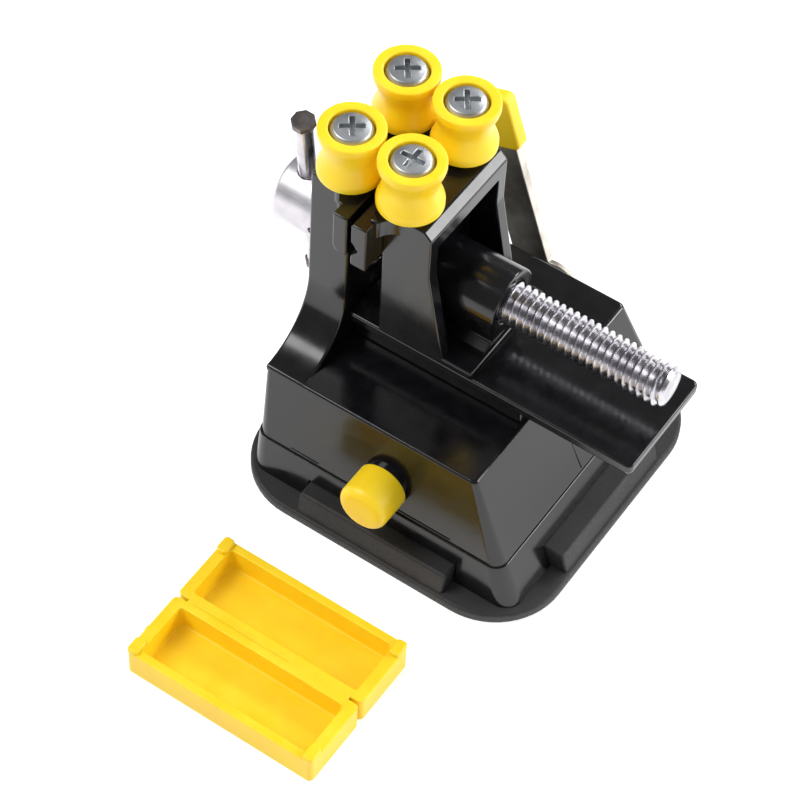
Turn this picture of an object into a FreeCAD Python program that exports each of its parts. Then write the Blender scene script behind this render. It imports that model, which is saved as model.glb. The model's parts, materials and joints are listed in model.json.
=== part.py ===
import FreeCAD, Part
import Sketcher
import math
import os

# Vise for holding circuit boards: suction base, two jaws with four grooved rollers,
# lead screw with a sliding bar, suction lever, and a pair of soft jaw covers beside it.
# Millimetres, +Z up. X runs along the screw towards its free tip, Y towards the lever.
# The origin is the middle of the underside of the suction pad.

SIZES = {
    # suction pad
    "pad_long_x": 64.0,
    "pad_long_y": 66.0,
    "pad_corner": 14.0,
    "pad_thick": 2.2,
    "tab_half": 15.6,
    "tab_rise": 4.0,
    "tab_inset": 0.4,
    "tab_slope": 1.4,
    "tab_play": 0.3,
    "boss_radius": 8.0,
    "boss_rise": 1.9,
    # base housing
    "foot_left": 28.8,
    "foot_right": 28.0,
    "foot_half_y": 28.7,
    "foot_corner": 3.6,
    "skirt_rise": 8.3,
    "belt_left": 28.4,
    "belt_right": 24.3,
    "skirt_lean": 1.2,
    "belt_corner": 2.8,
    "ledge": 0.4,
    "upper_corner": 2.4,
    "deck_rise": 16.5,
    "deck_right": 16.0,
    "deck_half_y": 24.5,
    "deck_corner": 1.0,
    "skirt_wall": 4.0,
    "deck_wall": 3.0,
    "deck_plate": 2.7,
    "cavity_corner": 2.0,
    "seam_half": 0.25,
    "seam_proud": 0.15,
    # fixed jaw
    "jaw_rise": 39.0,
    "jaw_half_y": 12.0,
    "jaw_top_half_y": 11.6,
    "jaw_thick": 8.2,
    "clamp_deep": 9.2,
    "clamp_proud": 2.8,
    "clamp_half_y": 16.8,
    "clamp_thick": 2.9,
    "wing_half_y": 14.4,
    "wing_flat": 0.7,
    "wing_long": 3.5,
    "wing_deep": 4.0,
    # guide rail
    "rail_rise": 7.7,
    "rail_plate": 2.2,
    "rail_half_y": 11.4,
    "rail_long": 58.2,
    "rail_corner": 1.2,
    "pedestal_half_y": 9.2,
    "pedestal_long": 35.1,
    "rail_screw_radius": 1.5,
    "rail_screw_head": 2.4,
    "rail_screw_head_deep": 1.7,
    "rail_screw_long": 7.0,
    "rail_screw_half_y": 6.6,
    "rail_screw_left": 15.0,
    "rail_screw_right": 10.0,
    # lead screw, hub and bar
    "screw_rise": 17.7,
    "screw_radius": 3.97,
    "screw_tip": 38.2,
    "screw_tip_chamfer": 0.8,
    "thread_pitch": 1.41,
    "thread_deep": 0.75,
    "thread_half": 0.6,
    "running_play": 0.05,
    "bearing_play": 0.08,
    "hub_radius": 6.7,
    "hub_long": 11.4,
    "hub_chamfer": 0.7,
    "hub_socket": 4.4,
    "hub_pin_radius": 0.8,
    "hub_pin_inset": 2.2,
    "washer_radius": 5.2,
    "washer_thick": 0.65,
    "end_play": 0.05,
    "counterbore_radius": 5.5,
    "counterbore_deep": 1.5,
    "clip_radius": 5.1,
    "clip_thick": 0.8,
    "clip_groove_radius": 3.4,
    "clip_mouth": 3.0,
    "bar_radius": 1.75,
    "bar_half": 21.25,
    "bar_lean": 7.0,
    "bar_place": 7.2,
    "bar_head_radius": 2.3,
    "bar_head_long": 1.3,
    "bar_spigot": 1.1,
    # moving jaw
    "jaw_gap": 0.8,
    "cheek_thick": 3.0,
    "cheek_rise": 10.2,
    "cheek_half_y": 16.8,
    "cheek_sunk": 0.5,
    "block_half_y": 11.6,
    "notch_half": 1.8,
    "notch_deep": 1.5,
    "notch_height": 4.0,
    "web_thick": 4.4,
    "top_long": 9.6,
    "top_plate": 5.0,
    "flange_thick": 2.5,
    "flange_knee": 11.0,
    "flange_foot": 13.5,
    "top_bevel": 1.6,
    "foot_long": 19.2,
    "foot_plate": 1.4,
    "slide_play": 0.1,
    "boss_out": 6.3,
    "boss_long": 19.5,
    "gusset_half_y": 4.3,
    "gusset_flare": 7.0,
    "gusset_rise": 2.7,
    "nut_radius": 4.95,
    "nut_long": 6.0,
    "nut_inset": 0.2,
    # rollers
    "post_radius": 3.4,
    "post_lift": 0.6,
    "fixed_post_x": 5.65,
    "moving_post_x": 2.85,
    "roller_half_y": 8.1,
    "roller_radius": 5.85,
    "roller_high": 10.4,
    "roller_lip": 1.3,
    "roller_waist": 1.0,
    "roller_recess_radius": 4.0,
    "roller_recess_deep": 1.9,
    "roller_play": 0.1,
    "roller_washer_radius": 3.4,
    "roller_washer_thick": 0.5,
    "roller_screw_radius": 2.0,
    "roller_screw_depth": 12.0,
    "roller_screw_head": 3.8,
    "roller_screw_head_deep": 2.2,
    "head_dome": 0.6,
    "cross_half": 2.2,
    "cross_wide": 0.45,
    "cross_deep": 1.3,
    "cross_turn": 36.0,
    # suction lever, cam and plunger
    "axle_x": 0.8,
    "axle_rise": 14.0,
    "axle_radius": 3.0,
    "axle_reach": 3.5,
    "axle_head_radius": 4.0,
    "axle_head_thick": 1.0,
    "cap_radius": 4.8,
    "cap_long": 7.3,
    "cap_round": 1.6,
    "front_boss_radius": 4.2,
    "front_boss_proud": 0.05,
    "back_boss_inset": 1.1,
    "back_boss_radius": 4.8,
    "lever_washer_radius": 4.6,
    "lever_washer_thick": 0.5,
    "lever_eye": 6.0,
    "lever_wide": 7.5,
    "lever_offset": 3.35,
    "lever_long": 42.5,
    "lever_plate": 1.2,
    "lever_flange": 1.9,
    "lever_lean": 19.5,
    "grip_wide": 9.7,
    "grip_start": 32.3,
    "grip_end": 44.0,
    "grip_thick": 3.2,
    "grip_inner": 0.5,
    "grip_round": 1.4,
    "cam_radius": 4.7,
    "cam_throw": 1.23,
    "cam_turn": 35.5,
    "cam_half_y": 3.0,
    "cam_play": 0.3,
    "yoke_half_y": 4.0,
    "yoke_inner": 7.5,
    "yoke_wall": 2.5,
    "yoke_bar": 1.7,
    "stem_radius": 3.0,
    "disc_radius": 7.6,
    "disc_thick": 1.5,
    "disc_play": 0.1,
    # soft jaw covers
    "cover_left": 20.6,
    "cover_long": 38.9,
    "cover_wide": 14.3,
    "cover_high": 6.0,
    "cover_near_y": 46.5,
    "cover_split": 0.5,
    "cover_pocket_long": 34.4,
    "cover_pocket_wide": 11.0,
    "cover_pocket_deep": 4.5,
    "cover_corner": 1.0,
    "ear_rise": 0.8,
    "ear_long": 2.2,
    "ear_wide": 3.4,
    "fold_notch": 1.2,
    "hinge_thick": 0.6,
    "step_long": 2.4,
    "step_drop": 1.6,
    "sprue_radius": 0.8,
    "sprue_long": 1.1,
}

doc = FreeCAD.newDocument("pcb_holder_vise")
sheet = doc.addObject("Spreadsheet::Sheet", "Sizes")
for row, name in enumerate(SIZES, 1):
    sheet.set("A%d" % row, name)
    sheet.set("B%d" % row, str(SIZES[name]))
    sheet.setAlias("B%d" % row, name)
doc.recompute()


class Size:
    """A number together with the sheet expression that yields it."""

    def __init__(self, number, text):
        self.number = number
        self.text = text

    def __add__(self, other):
        return Size(self.number + wrap(other).number, "(%s + %s)" % (self.text, wrap(other).text))

    def __sub__(self, other):
        return Size(self.number - wrap(other).number, "(%s - %s)" % (self.text, wrap(other).text))

    def __mul__(self, other):
        return Size(self.number * wrap(other).number, "(%s * %s)" % (self.text, wrap(other).text))

    def __truediv__(self, other):
        return Size(self.number / wrap(other).number, "(%s / %s)" % (self.text, wrap(other).text))

    def __radd__(self, other):
        return wrap(other) + self

    def __rsub__(self, other):
        return wrap(other) - self

    def __rmul__(self, other):
        return wrap(other) * self

    def __neg__(self):
        return Size(-self.number, "(0 - %s)" % self.text)


def wrap(item):
    if isinstance(item, Size):
        return item
    return Size(float(item), "(%s)" % repr(float(item)))


def size(name):
    return Size(float(SIZES[name]), "Sizes." + name)


def sine(angle):
    return Size(math.sin(math.radians(angle.number)), "sin(%s)" % angle.text)


def cosine(angle):
    return Size(math.cos(math.radians(angle.number)), "cos(%s)" % angle.text)


def largest(one, two):
    return Size(max(one.number, two.number), "max(%s; %s)" % (one.text, two.text))


def bind(item, prop, value):
    item.setExpression(prop, wrap(value).text)


def at(x, y):
    return FreeCAD.Vector(wrap(x).number, wrap(y).number, 0)


def new_body(label):
    made = doc.addObject("PartDesign::Body", label)
    made.Label = label
    return made


def datum(owner, role):
    return [item for item in owner.Origin.OriginFeatures if item.Role == role][0]


def new_sketch(owner, name, role, offset):
    made = owner.newObject("Sketcher::SketchObject", name)
    made.AttachmentSupport = [(datum(owner, role), "")]
    made.MapMode = "FlatFace"
    bind(made, "AttachmentOffset.Base.z", offset)
    return made


def fix_point(sketch, edge, end, spot):
    across = sketch.addConstraint(
        Sketcher.Constraint("DistanceX", -1, 1, edge, end, wrap(spot[0]).number))
    bind(sketch, "Constraints[%d]" % across, spot[0])
    up = sketch.addConstraint(
        Sketcher.Constraint("DistanceY", -1, 1, edge, end, wrap(spot[1]).number))
    bind(sketch, "Constraints[%d]" % up, spot[1])


def draw_arc(sketch, start, stop, radius, side):
    span = stop - start
    reach = math.sqrt(max(radius.number ** 2 - (span.Length / 2) ** 2, 0.0))
    normal = FreeCAD.Vector(-span.y, span.x, 0).normalize()
    hand = 1 if side == "round" else -1
    centre = (start + stop) * 0.5 + normal * (reach * hand)
    circle = Part.Circle(centre, FreeCAD.Vector(0, 0, 1), radius.number)
    first, last = circle.parameter(start), circle.parameter(stop)
    if side == "round":
        return sketch.addGeometry(Part.ArcOfCircle(circle, first, last), False)
    return sketch.addGeometry(Part.ArcOfCircle(circle, last, first), False)


def draw_outline(sketch, points, arcs):
    """Closed outline, counter-clockwise. arcs: starting corner -> (radius, round or hollow)."""
    ends = []
    for index, spot in enumerate(points):
        start = at(*spot)
        stop = at(*points[(index + 1) % len(points)])
        if index in arcs:
            radius, side = arcs[index]
            edge = draw_arc(sketch, start, stop, wrap(radius), side)
            ends.append((edge, 1, 2) if side == "round" else (edge, 2, 1))
        else:
            edge = sketch.addGeometry(Part.LineSegment(start, stop), False)
            ends.append((edge, 1, 2))
    for index, (edge, head, tail) in enumerate(ends):
        after = ends[(index + 1) % len(ends)]
        sketch.addConstraint(Sketcher.Constraint("Coincident", edge, tail, after[0], after[1]))
        fix_point(sketch, edge, head, points[index])
        if index in arcs:
            radius = arcs[index][0]
            mark = sketch.addConstraint(
                Sketcher.Constraint("Radius", edge, wrap(radius).number))
            bind(sketch, "Constraints[%d]" % mark, radius)


def rounded(left, right, low, high, corner):
    points = [
        (left + corner, low), (right - corner, low),
        (right, low + corner), (right, high - corner),
        (right - corner, high), (left + corner, high),
        (left, high - corner), (left, low + corner),
    ]
    return points, {corner_at: (corner, "round") for corner_at in (1, 3, 5, 7)}


def plain(left, right, low, high):
    return [(left, low), (right, low), (right, high), (left, high)], {}


def stretch(owner, sketch, name, role, low, high, cut):
    kind = "PartDesign::Pocket" if cut else "PartDesign::Pad"
    made = owner.newObject(kind, name)
    made.Profile = sketch
    made.Reversed = cut
    bind(made, "Length", wrap(high) - low)
    sketch.Visibility = False
    return made


def prism(owner, name, role, shape, low, high, cut=False):
    """Extrude an outline between two world positions along the normal of its plane."""
    start = -wrap(high) if role == "XZ_Plane" else wrap(low)
    sketch = new_sketch(owner, name + "_sketch", role, start)
    draw_outline(sketch, shape[0], shape[1])
    return stretch(owner, sketch, name, role, low, high, cut)


def rod(owner, name, role, centre, radius, low, high, cut=False):
    """Round bar, or a drilled hole, along the normal of the plane."""
    start = -wrap(high) if role == "XZ_Plane" else wrap(low)
    sketch = new_sketch(owner, name + "_sketch", role, start)
    ring = Part.Circle(at(*centre), FreeCAD.Vector(0, 0, 1), wrap(radius).number)
    edge = sketch.addGeometry(ring, False)
    fix_point(sketch, edge, 3, centre)
    mark = sketch.addConstraint(Sketcher.Constraint("Radius", edge, wrap(radius).number))
    bind(sketch, "Constraints[%d]" % mark, radius)
    return stretch(owner, sketch, name, role, low, high, cut)


def turned(owner, name, role, axis, points, arcs=None, cut=False):
    sketch = new_sketch(owner, name + "_sketch", role, 0)
    draw_outline(sketch, points, arcs or {})
    kind = "PartDesign::Groove" if cut else "PartDesign::Revolution"
    made = owner.newObject(kind, name)
    made.Profile = sketch
    made.ReferenceAxis = (datum(owner, axis), [""])
    made.Angle = 360
    sketch.Visibility = False
    return made


def tapered(owner, name, low, low_shape, high, high_shape, cut=False):
    kind = "PartDesign::SubtractiveLoft" if cut else "PartDesign::AdditiveLoft"
    under = new_sketch(owner, name + "_low", "XY_Plane", low)
    draw_outline(under, low_shape[0], low_shape[1])
    over = new_sketch(owner, name + "_high", "XY_Plane", high)
    draw_outline(over, high_shape[0], high_shape[1])
    made = owner.newObject(kind, name)
    made.Profile = under
    made.Sections = [over]
    made.Ruled = True
    under.Visibility = False
    over.Visibility = False
    return made


def soften(owner, name, test, radius):
    """Round the edges of the body so far that pass the test."""
    doc.recompute()
    base = owner.Tip
    picked = []
    for index, edge in enumerate(base.Shape.Edges, 1):
        if test(edge):
            picked.append("Edge%d" % index)
    made = owner.newObject("PartDesign::Fillet", name)
    made.Base = (base, picked)
    bind(made, "Radius", radius)
    return made


def along(edge, direction):
    if edge.Curve.TypeId != "Part::GeomLine":
        return False
    return abs(abs(edge.Curve.Direction.dot(direction)) - 1) < 1e-6


def seat(item, x, y, z, axis=None, angle=None):
    """Put an item at a position, turned about one direction."""
    if axis is not None:
        item.Placement = FreeCAD.Placement(FreeCAD.Vector(), FreeCAD.Rotation(axis, 1))
        bind(item, "Placement.Rotation.Angle", angle)
    for letter, value in zip("xyz", (x, y, z)):
        bind(item, "Placement.Base." + letter, value)


X_WAY = FreeCAD.Vector(1, 0, 0)
Y_WAY = FreeCAD.Vector(0, 1, 0)
Z_WAY = FreeCAD.Vector(0, 0, 1)

# Heights shared by several pieces
pad_top = size("pad_thick")
belt = pad_top + size("skirt_rise")
deck = belt + size("deck_rise")
axis_z = deck + size("screw_rise")
jaw_top = deck + size("jaw_rise")
rail_top = deck + size("rail_rise")
post_top = jaw_top + size("post_lift")
washer_top = post_top + size("roller_washer_thick")
roller_low = washer_top + size("roller_play")
roller_floor = roller_low + size("roller_high") - size("roller_recess_deep")
head_low = roller_floor + size("roller_play")
axle_z = pad_top + size("axle_rise")
axle_x = -size("axle_x")

# Positions along the screw shared by several pieces
upper_left = size("ledge") - size("belt_left")
jaw_face = upper_left + size("jaw_thick")
clamp_face = jaw_face + size("clamp_proud")
cheek_face = clamp_face + size("jaw_gap")
cheek_back = cheek_face + size("cheek_thick")
block = cheek_back
fixed_post = upper_left + size("fixed_post_x")
moving_post = block + size("moving_post_x")
play = size("running_play")


def wall_y(height):
    """Half width of the housing's sloping wall at a height."""
    waist = belt_y - size("ledge")
    return waist - (waist - size("deck_half_y")) * (height - belt) / size("deck_rise")


# Places across the screw shared by several pieces
belt_y = size("foot_half_y") - size("skirt_lean")
front_seat = largest(wall_y(axle_z - size("cap_radius")),
                     wall_y(axle_z + size("cap_radius"))) + size("front_boss_proud")
back_seat = size("foot_half_y") - size("back_boss_inset")
axle_end = front_seat + size("axle_reach")


# Suction pad: sheet with rounded corners, four tabs that lock in the skirt, middle boss
def make_suction_pad():
    pad = new_body("suction_pad")
    half_x, half_y = size("pad_long_x") / 2, size("pad_long_y") / 2
    top = pad_top + size("tab_rise")
    root = pad_top / 2
    sheet_shape = rounded(-half_x, half_x, -half_y, half_y, size("pad_corner"))
    prism(pad, "pad_sheet", "XY_Plane", sheet_shape, 0, pad_top)
    tab = size("tab_half")
    inner = size("foot_half_y") - size("skirt_wall") + size("tab_play")
    outer = half_y - size("tab_inset")
    lean = size("tab_slope")
    front = [(-outer, root), (-inner, root), (-inner, top), (lean - outer, top)]
    prism(pad, "front_tab", "YZ_Plane", (front, {}), -tab, tab)
    back = [(inner, root), (outer, root), (outer - lean, top), (inner, top)]
    prism(pad, "back_tab", "YZ_Plane", (back, {}), -tab, tab)
    outer = half_x - size("tab_inset")
    inner = size("foot_left") - size("skirt_wall") + size("tab_play")
    left = [(-outer, root), (-inner, root), (-inner, top), (lean - outer, top)]
    prism(pad, "left_tab", "XZ_Plane", (left, {}), -tab, tab)
    inner = size("foot_right") - size("skirt_wall") + size("tab_play")
    right = [(inner, root), (outer, root), (outer - lean, top), (inner, top)]
    prism(pad, "right_tab", "XZ_Plane", (right, {}), -tab, tab)
    rod(pad, "pad_boss", "XY_Plane", (axle_x, 0), size("boss_radius"),
        root, pad_top + size("boss_rise"))
    return pad


# Top view of the corner webs that carry a wide jaw on its narrower upright
def wings(face, way):
    wide, narrow = size("wing_half_y"), size("block_half_y")
    root, flat, far = face - way, face + size("wing_flat") * way, face + size("wing_long") * way
    return [(root, -wide), (flat, -wide), (far, -narrow), (far, narrow), (flat, wide),
            (root, wide)], {}


# Base housing with the fixed jaw moulded on
def make_base_housing():
    base = new_body("base_housing")
    foot = rounded(-size("foot_left"), size("foot_right"),
                   -size("foot_half_y"), size("foot_half_y"), size("foot_corner"))
    rim = rounded(-size("belt_left"), size("belt_right"),
                  -belt_y, belt_y, size("belt_corner"))
    tapered(base, "skirt", pad_top, foot, belt, rim)
    set_in = size("ledge")
    waist_y = belt_y - set_in
    waist = rounded(upper_left, size("belt_right") - set_in, -waist_y, waist_y,
                    size("upper_corner"))
    roof = rounded(upper_left, size("deck_right"),
                   -size("deck_half_y"), size("deck_half_y"), size("deck_corner"))
    tapered(base, "upper_wall", belt, waist, deck, roof)
    # jaw plate flaring out over the deck
    flare = size("deck_half_y") - size("jaw_half_y")
    wide, narrow, crown = size("deck_half_y"), size("jaw_half_y"), size("jaw_top_half_y")
    sink = deck - size("deck_plate") / 2

    def jaw_outline(top):
        points = [(-wide, sink), (wide, sink), (wide, deck), (narrow, deck + flare),
                  (crown, top), (-crown, top), (-narrow, deck + flare), (-wide, deck)]
        return points, {2: (flare, "hollow"), 6: (flare, "hollow")}

    prism(base, "jaw_plate", "YZ_Plane", jaw_outline(jaw_top), upper_left, jaw_face)
    clamp_y, clamp_back = size("clamp_half_y"), clamp_face - size("clamp_thick")
    prism(base, "clamp_block", "YZ_Plane",
          plain(-clamp_y, clamp_y, jaw_top - size("clamp_deep"), jaw_top), clamp_back, clamp_face)
    prism(base, "clamp_wings", "XY_Plane", wings(clamp_back, -1), jaw_top - size("wing_deep"),
          jaw_top)
    half = size("roller_half_y")
    for name, y in (("front_post", -half), ("rear_post", half)):
        rod(base, name, "XY_Plane", (fixed_post, y), size("post_radius"), jaw_top - 1, post_top)
    # seats for the suction lever shaft
    rod(base, "front_boss", "XZ_Plane", (axle_x, axle_z), size("front_boss_radius"),
        -front_seat, -size("deck_half_y") + size("deck_wall") / 2)
    rod(base, "back_boss", "XZ_Plane", (axle_x, axle_z), size("back_boss_radius"),
        size("deck_half_y") - size("deck_wall") / 2, back_seat)
    # mould seam down the sloping end
    proud = size("seam_proud")
    seam_low, seam_high = size("belt_right") - set_in, size("deck_right")
    seam = [(seam_low - 1, belt), (seam_low + proud, belt),
            (seam_high + proud, deck), (seam_high - 1, deck)]
    prism(base, "mould_seam", "XZ_Plane", (seam, {}), -size("seam_half"), size("seam_half"))
    # hollow inside
    wall, thin = size("skirt_wall"), size("deck_wall")
    low_y = size("foot_half_y") - wall
    low_shape = rounded(wall - size("foot_left"), size("foot_right") - wall,
                        -low_y, low_y, size("cavity_corner"))
    high_y = size("deck_half_y") - thin
    high_shape = rounded(upper_left + thin, size("deck_right") - thin,
                         -high_y, high_y, size("cavity_corner"))
    tapered(base, "cavity", pad_top, low_shape, deck - size("deck_plate"), high_shape, True)
    gap = size("tab_half") + size("tab_play")
    gap_top = pad_top + size("tab_rise") + size("tab_play")
    far = size("foot_left") + 2
    prism(base, "side_cutouts", "XZ_Plane", plain(-gap, gap, pad_top - 1, gap_top),
          -far, far, True)
    prism(base, "end_cutouts", "YZ_Plane", plain(-gap, gap, pad_top - 1, gap_top),
          -far, far, True)
    # bores
    rod(base, "axle_bore", "XZ_Plane", (axle_x, axle_z), size("axle_radius") + play,
        -far, far, True)
    bearing = size("screw_radius") + size("bearing_play")
    rod(base, "screw_bore", "YZ_Plane", (0, axis_z), bearing, upper_left - 1, clamp_face + 1,
        True)
    rod(base, "clip_recess", "YZ_Plane", (0, axis_z), size("counterbore_radius"),
        jaw_face - size("counterbore_deep"), clamp_face + 1, True)
    for name, y in (("front_screw_hole", -half), ("rear_screw_hole", half)):
        rod(base, name, "XY_Plane", (fixed_post, y), size("roller_screw_radius") + play,
            post_top - size("roller_screw_depth"), post_top + 1, True)
    hole = size("rail_screw_radius") + play
    for tag, x in (("left", -size("rail_screw_left")), ("right", size("rail_screw_right"))):
        for end, y in (("front", -size("rail_screw_half_y")), ("rear", size("rail_screw_half_y"))):
            rod(base, "rail_hole_%s_%s" % (tag, end), "XY_Plane", (x, y), hole,
                deck - size("deck_plate") - 1, deck + 1, True)
    return base


# Guide rail on its pedestal, screwed down from inside the housing
def make_guide_rail():
    rail = new_body("guide_rail")
    start = jaw_face
    half = size("rail_half_y")
    plate = rounded(start, start + size("rail_long"), -half, half, size("rail_corner"))
    under = rail_top - size("rail_plate")
    prism(rail, "rail_plate", "XY_Plane", plate, under, rail_top)
    foot = size("pedestal_half_y")
    prism(rail, "pedestal", "XY_Plane",
          plain(start, start + size("pedestal_long"), -foot, foot), deck,
          under + size("rail_plate") / 2)
    hole = size("rail_screw_radius") + play
    depth = size("rail_screw_long") - size("deck_plate") + size("running_play")
    for tag, x in (("left", -size("rail_screw_left")), ("right", size("rail_screw_right"))):
        for end, y in (("front", -size("rail_screw_half_y")), ("rear", size("rail_screw_half_y"))):
            rod(rail, "hole_%s_%s" % (tag, end), "XY_Plane", (x, y), hole,
                deck - 1, deck + depth, True)
    return rail


def cylinder(name, radius, height, x, y, z, axis=None, angle=None):
    made = doc.addObject("Part::Cylinder", name)
    bind(made, "Radius", radius)
    bind(made, "Height", height)
    seat(made, x, y, z, axis, angle)
    return made


def joined(name, pieces):
    made = doc.addObject("Part::MultiFuse", name)
    made.Shapes = pieces
    return made


def ring(name, outer, inner, thick, x, y, z):
    disc = cylinder(name + "_disc", outer, thick, x, y, z)
    bore = cylinder(name + "_bore", inner, thick + 2, x, y, wrap(z) - 1)
    made = doc.addObject("Part::Cut", name)
    made.Base = disc
    made.Tool = bore
    return made


def group(label, pieces):
    made = doc.addObject("Part::Compound", label)
    made.Label = label
    made.Links = pieces
    return made


# Four screws that hold the rail from inside the housing
def make_rail_screws():
    pieces = []
    under = deck - size("deck_plate")
    head = size("rail_screw_head_deep")
    for tag, x in (("left", -size("rail_screw_left")), ("right", size("rail_screw_right"))):
        for end, y in (("front", -size("rail_screw_half_y")), ("rear", size("rail_screw_half_y"))):
            name = "rail_screw_%s_%s" % (tag, end)
            cap = cylinder(name + "_head", size("rail_screw_head"), head, x, y, under - head)
            shank = cylinder(name + "_shank", size("rail_screw_radius"),
                             size("rail_screw_long") + head / 2, x, y, under - head / 2)
            pieces.append(joined(name, [cap, shank]))
    return group("rail_screws", pieces)


# Lead screw: plain bearing end with a clip groove, then the threaded length
def make_lead_screw():
    screw = new_body("lead_screw")
    radius, core = size("screw_radius"), size("clip_groove_radius")
    hub_end = upper_left - size("washer_thick") - size("end_play") * 2
    start = hub_end - size("hub_socket")
    clip_low = jaw_face - size("counterbore_deep") + size("end_play")
    clip_high = clip_low + size("clip_thick") + size("end_play")
    tip, bevel = size("screw_tip"), size("screw_tip_chamfer")
    points = [(start, 0), (tip, 0), (tip, radius - bevel), (tip - bevel, radius),
              (clip_high, radius), (clip_high, core), (clip_low, core), (clip_low, radius),
              (start, radius)]
    turned(screw, "screw_blank", "XZ_Plane", "X_Axis", points)
    pin_x = hub_end - size("hub_pin_inset")
    rod(screw, "pin_hole", "XZ_Plane", (pin_x, 0), size("hub_pin_radius"), -radius - 1,
        radius + 1, True)
    pitch, half = size("thread_pitch"), size("thread_half")
    first = jaw_face + pitch
    proud = size("running_play")
    vee = [(first, radius - size("thread_deep")), (first + half, radius + proud),
           (first - half, radius + proud)]
    groove = turned(screw, "thread_turn", "XZ_Plane", "X_Axis", vee, None, True)
    pattern = screw.newObject("PartDesign::LinearPattern", "thread_turns")
    pattern.Originals = [groove]
    pattern.Direction = (datum(screw, "X_Axis"), [""])
    turns = "floor((%s - %s) / Sizes.thread_pitch)" % ((tip - bevel).text, (first + pitch).text)
    pattern.setExpression("Occurrences", turns + " + 1")
    pattern.setExpression("Length", turns + " * Sizes.thread_pitch")
    screw.Tip = pattern
    seat(screw, 0, 0, axis_z, X_WAY, size("bar_lean"))
    return screw


# Hub pinned on the plain end, cross-drilled for the sliding bar
def make_screw_hub():
    hub = new_body("screw_hub")
    right = upper_left - size("washer_thick") - size("end_play") * 2
    left = right - size("hub_long")
    floor = right - size("hub_socket")
    radius, bevel, bore = size("hub_radius"), size("hub_chamfer"), size("screw_radius")
    points = [(left, 0), (floor, 0), (floor, bore), (right, bore), (right, radius - bevel / 2),
              (right - bevel / 2, radius), (left + bevel, radius), (left, radius - bevel)]
    turned(hub, "hub_blank", "XZ_Plane", "X_Axis", points)
    rod(hub, "bar_hole", "XY_Plane", (right - size("bar_place"), 0),
        size("bar_radius") + play, -radius - 1, radius + 1, True)
    rod(hub, "pin_hole", "XZ_Plane", (right - size("hub_pin_inset"), 0),
        size("hub_pin_radius"), -radius - 1, radius + 1, True)
    seat(hub, 0, 0, axis_z, X_WAY, size("bar_lean"))
    return hub


def make_hub_pin():
    pin = new_body("hub_pin")
    right = upper_left - size("washer_thick") - size("end_play") * 2
    reach = size("hub_radius") - size("hub_pin_radius") / 2
    rod(pin, "pin", "XZ_Plane", (right - size("hub_pin_inset"), 0), size("hub_pin_radius"),
        -reach, reach)
    seat(pin, 0, 0, axis_z, X_WAY, size("bar_lean"))
    return pin


def make_thrust_washer():
    washer = new_body("thrust_washer")
    right = upper_left - size("end_play")
    left = right - size("washer_thick")
    rod(washer, "washer_disc", "YZ_Plane", (0, 0), size("washer_radius"), left, right)
    rod(washer, "washer_hole", "YZ_Plane", (0, 0), size("screw_radius") + play,
        left - 1, right + 1, True)
    seat(washer, 0, 0, axis_z)
    return washer


# Open snap ring in the screw groove, inside the recess of the fixed jaw
def make_retaining_clip():
    clip = new_body("retaining_clip")
    left = jaw_face - size("counterbore_deep") + size("end_play") * 1.5
    right = left + size("clip_thick")
    rod(clip, "clip_disc", "YZ_Plane", (0, 0), size("clip_radius"), left, right)
    rod(clip, "clip_hole", "YZ_Plane", (0, 0), size("clip_groove_radius"), left - 1, right + 1,
        True)
    half = size("clip_mouth") / 2
    prism(clip, "clip_opening", "YZ_Plane", plain(-half, half, -size("clip_radius") - 1, 0),
          left - 1, right + 1, True)
    seat(clip, 0, 0, axis_z, X_WAY, size("bar_lean"))
    return clip


def bar_x():
    return upper_left - size("washer_thick") - size("end_play") * 2 - size("bar_place")


def make_tommy_bar():
    bar = new_body("tommy_bar")
    reach, head = size("bar_half"), size("bar_head_long")
    radius, spigot = size("bar_radius"), size("bar_spigot")
    points = [(0, -reach), (spigot, -reach), (spigot, head - reach), (radius, head - reach),
              (radius, reach - head), (spigot, reach - head), (spigot, reach), (0, reach)]
    turned(bar, "bar_blank", "XZ_Plane", "Z_Axis", points)
    seat(bar, bar_x(), 0, axis_z, X_WAY, size("bar_lean"))
    return bar


def make_tommy_bar_heads():
    pieces = []
    reach, head = size("bar_half"), size("bar_head_long")
    for name, low in (("upper_head", reach - head), ("lower_head", -reach)):
        block_piece = doc.addObject("Part::Prism", name + "_blank")
        block_piece.Polygon = 8
        bind(block_piece, "Circumradius", size("bar_head_radius"))
        bind(block_piece, "Height", head)
        seat(block_piece, 0, 0, low)
        bore = cylinder(name + "_bore", size("bar_spigot"), head + 2, 0, 0, low - 1)
        made = doc.addObject("Part::Cut", name)
        made.Base = block_piece
        made.Tool = bore
        pieces.append(made)
    heads = group("tommy_bar_heads", pieces)
    seat(heads, bar_x(), 0, axis_z, X_WAY, size("bar_lean"))
    return heads


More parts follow.
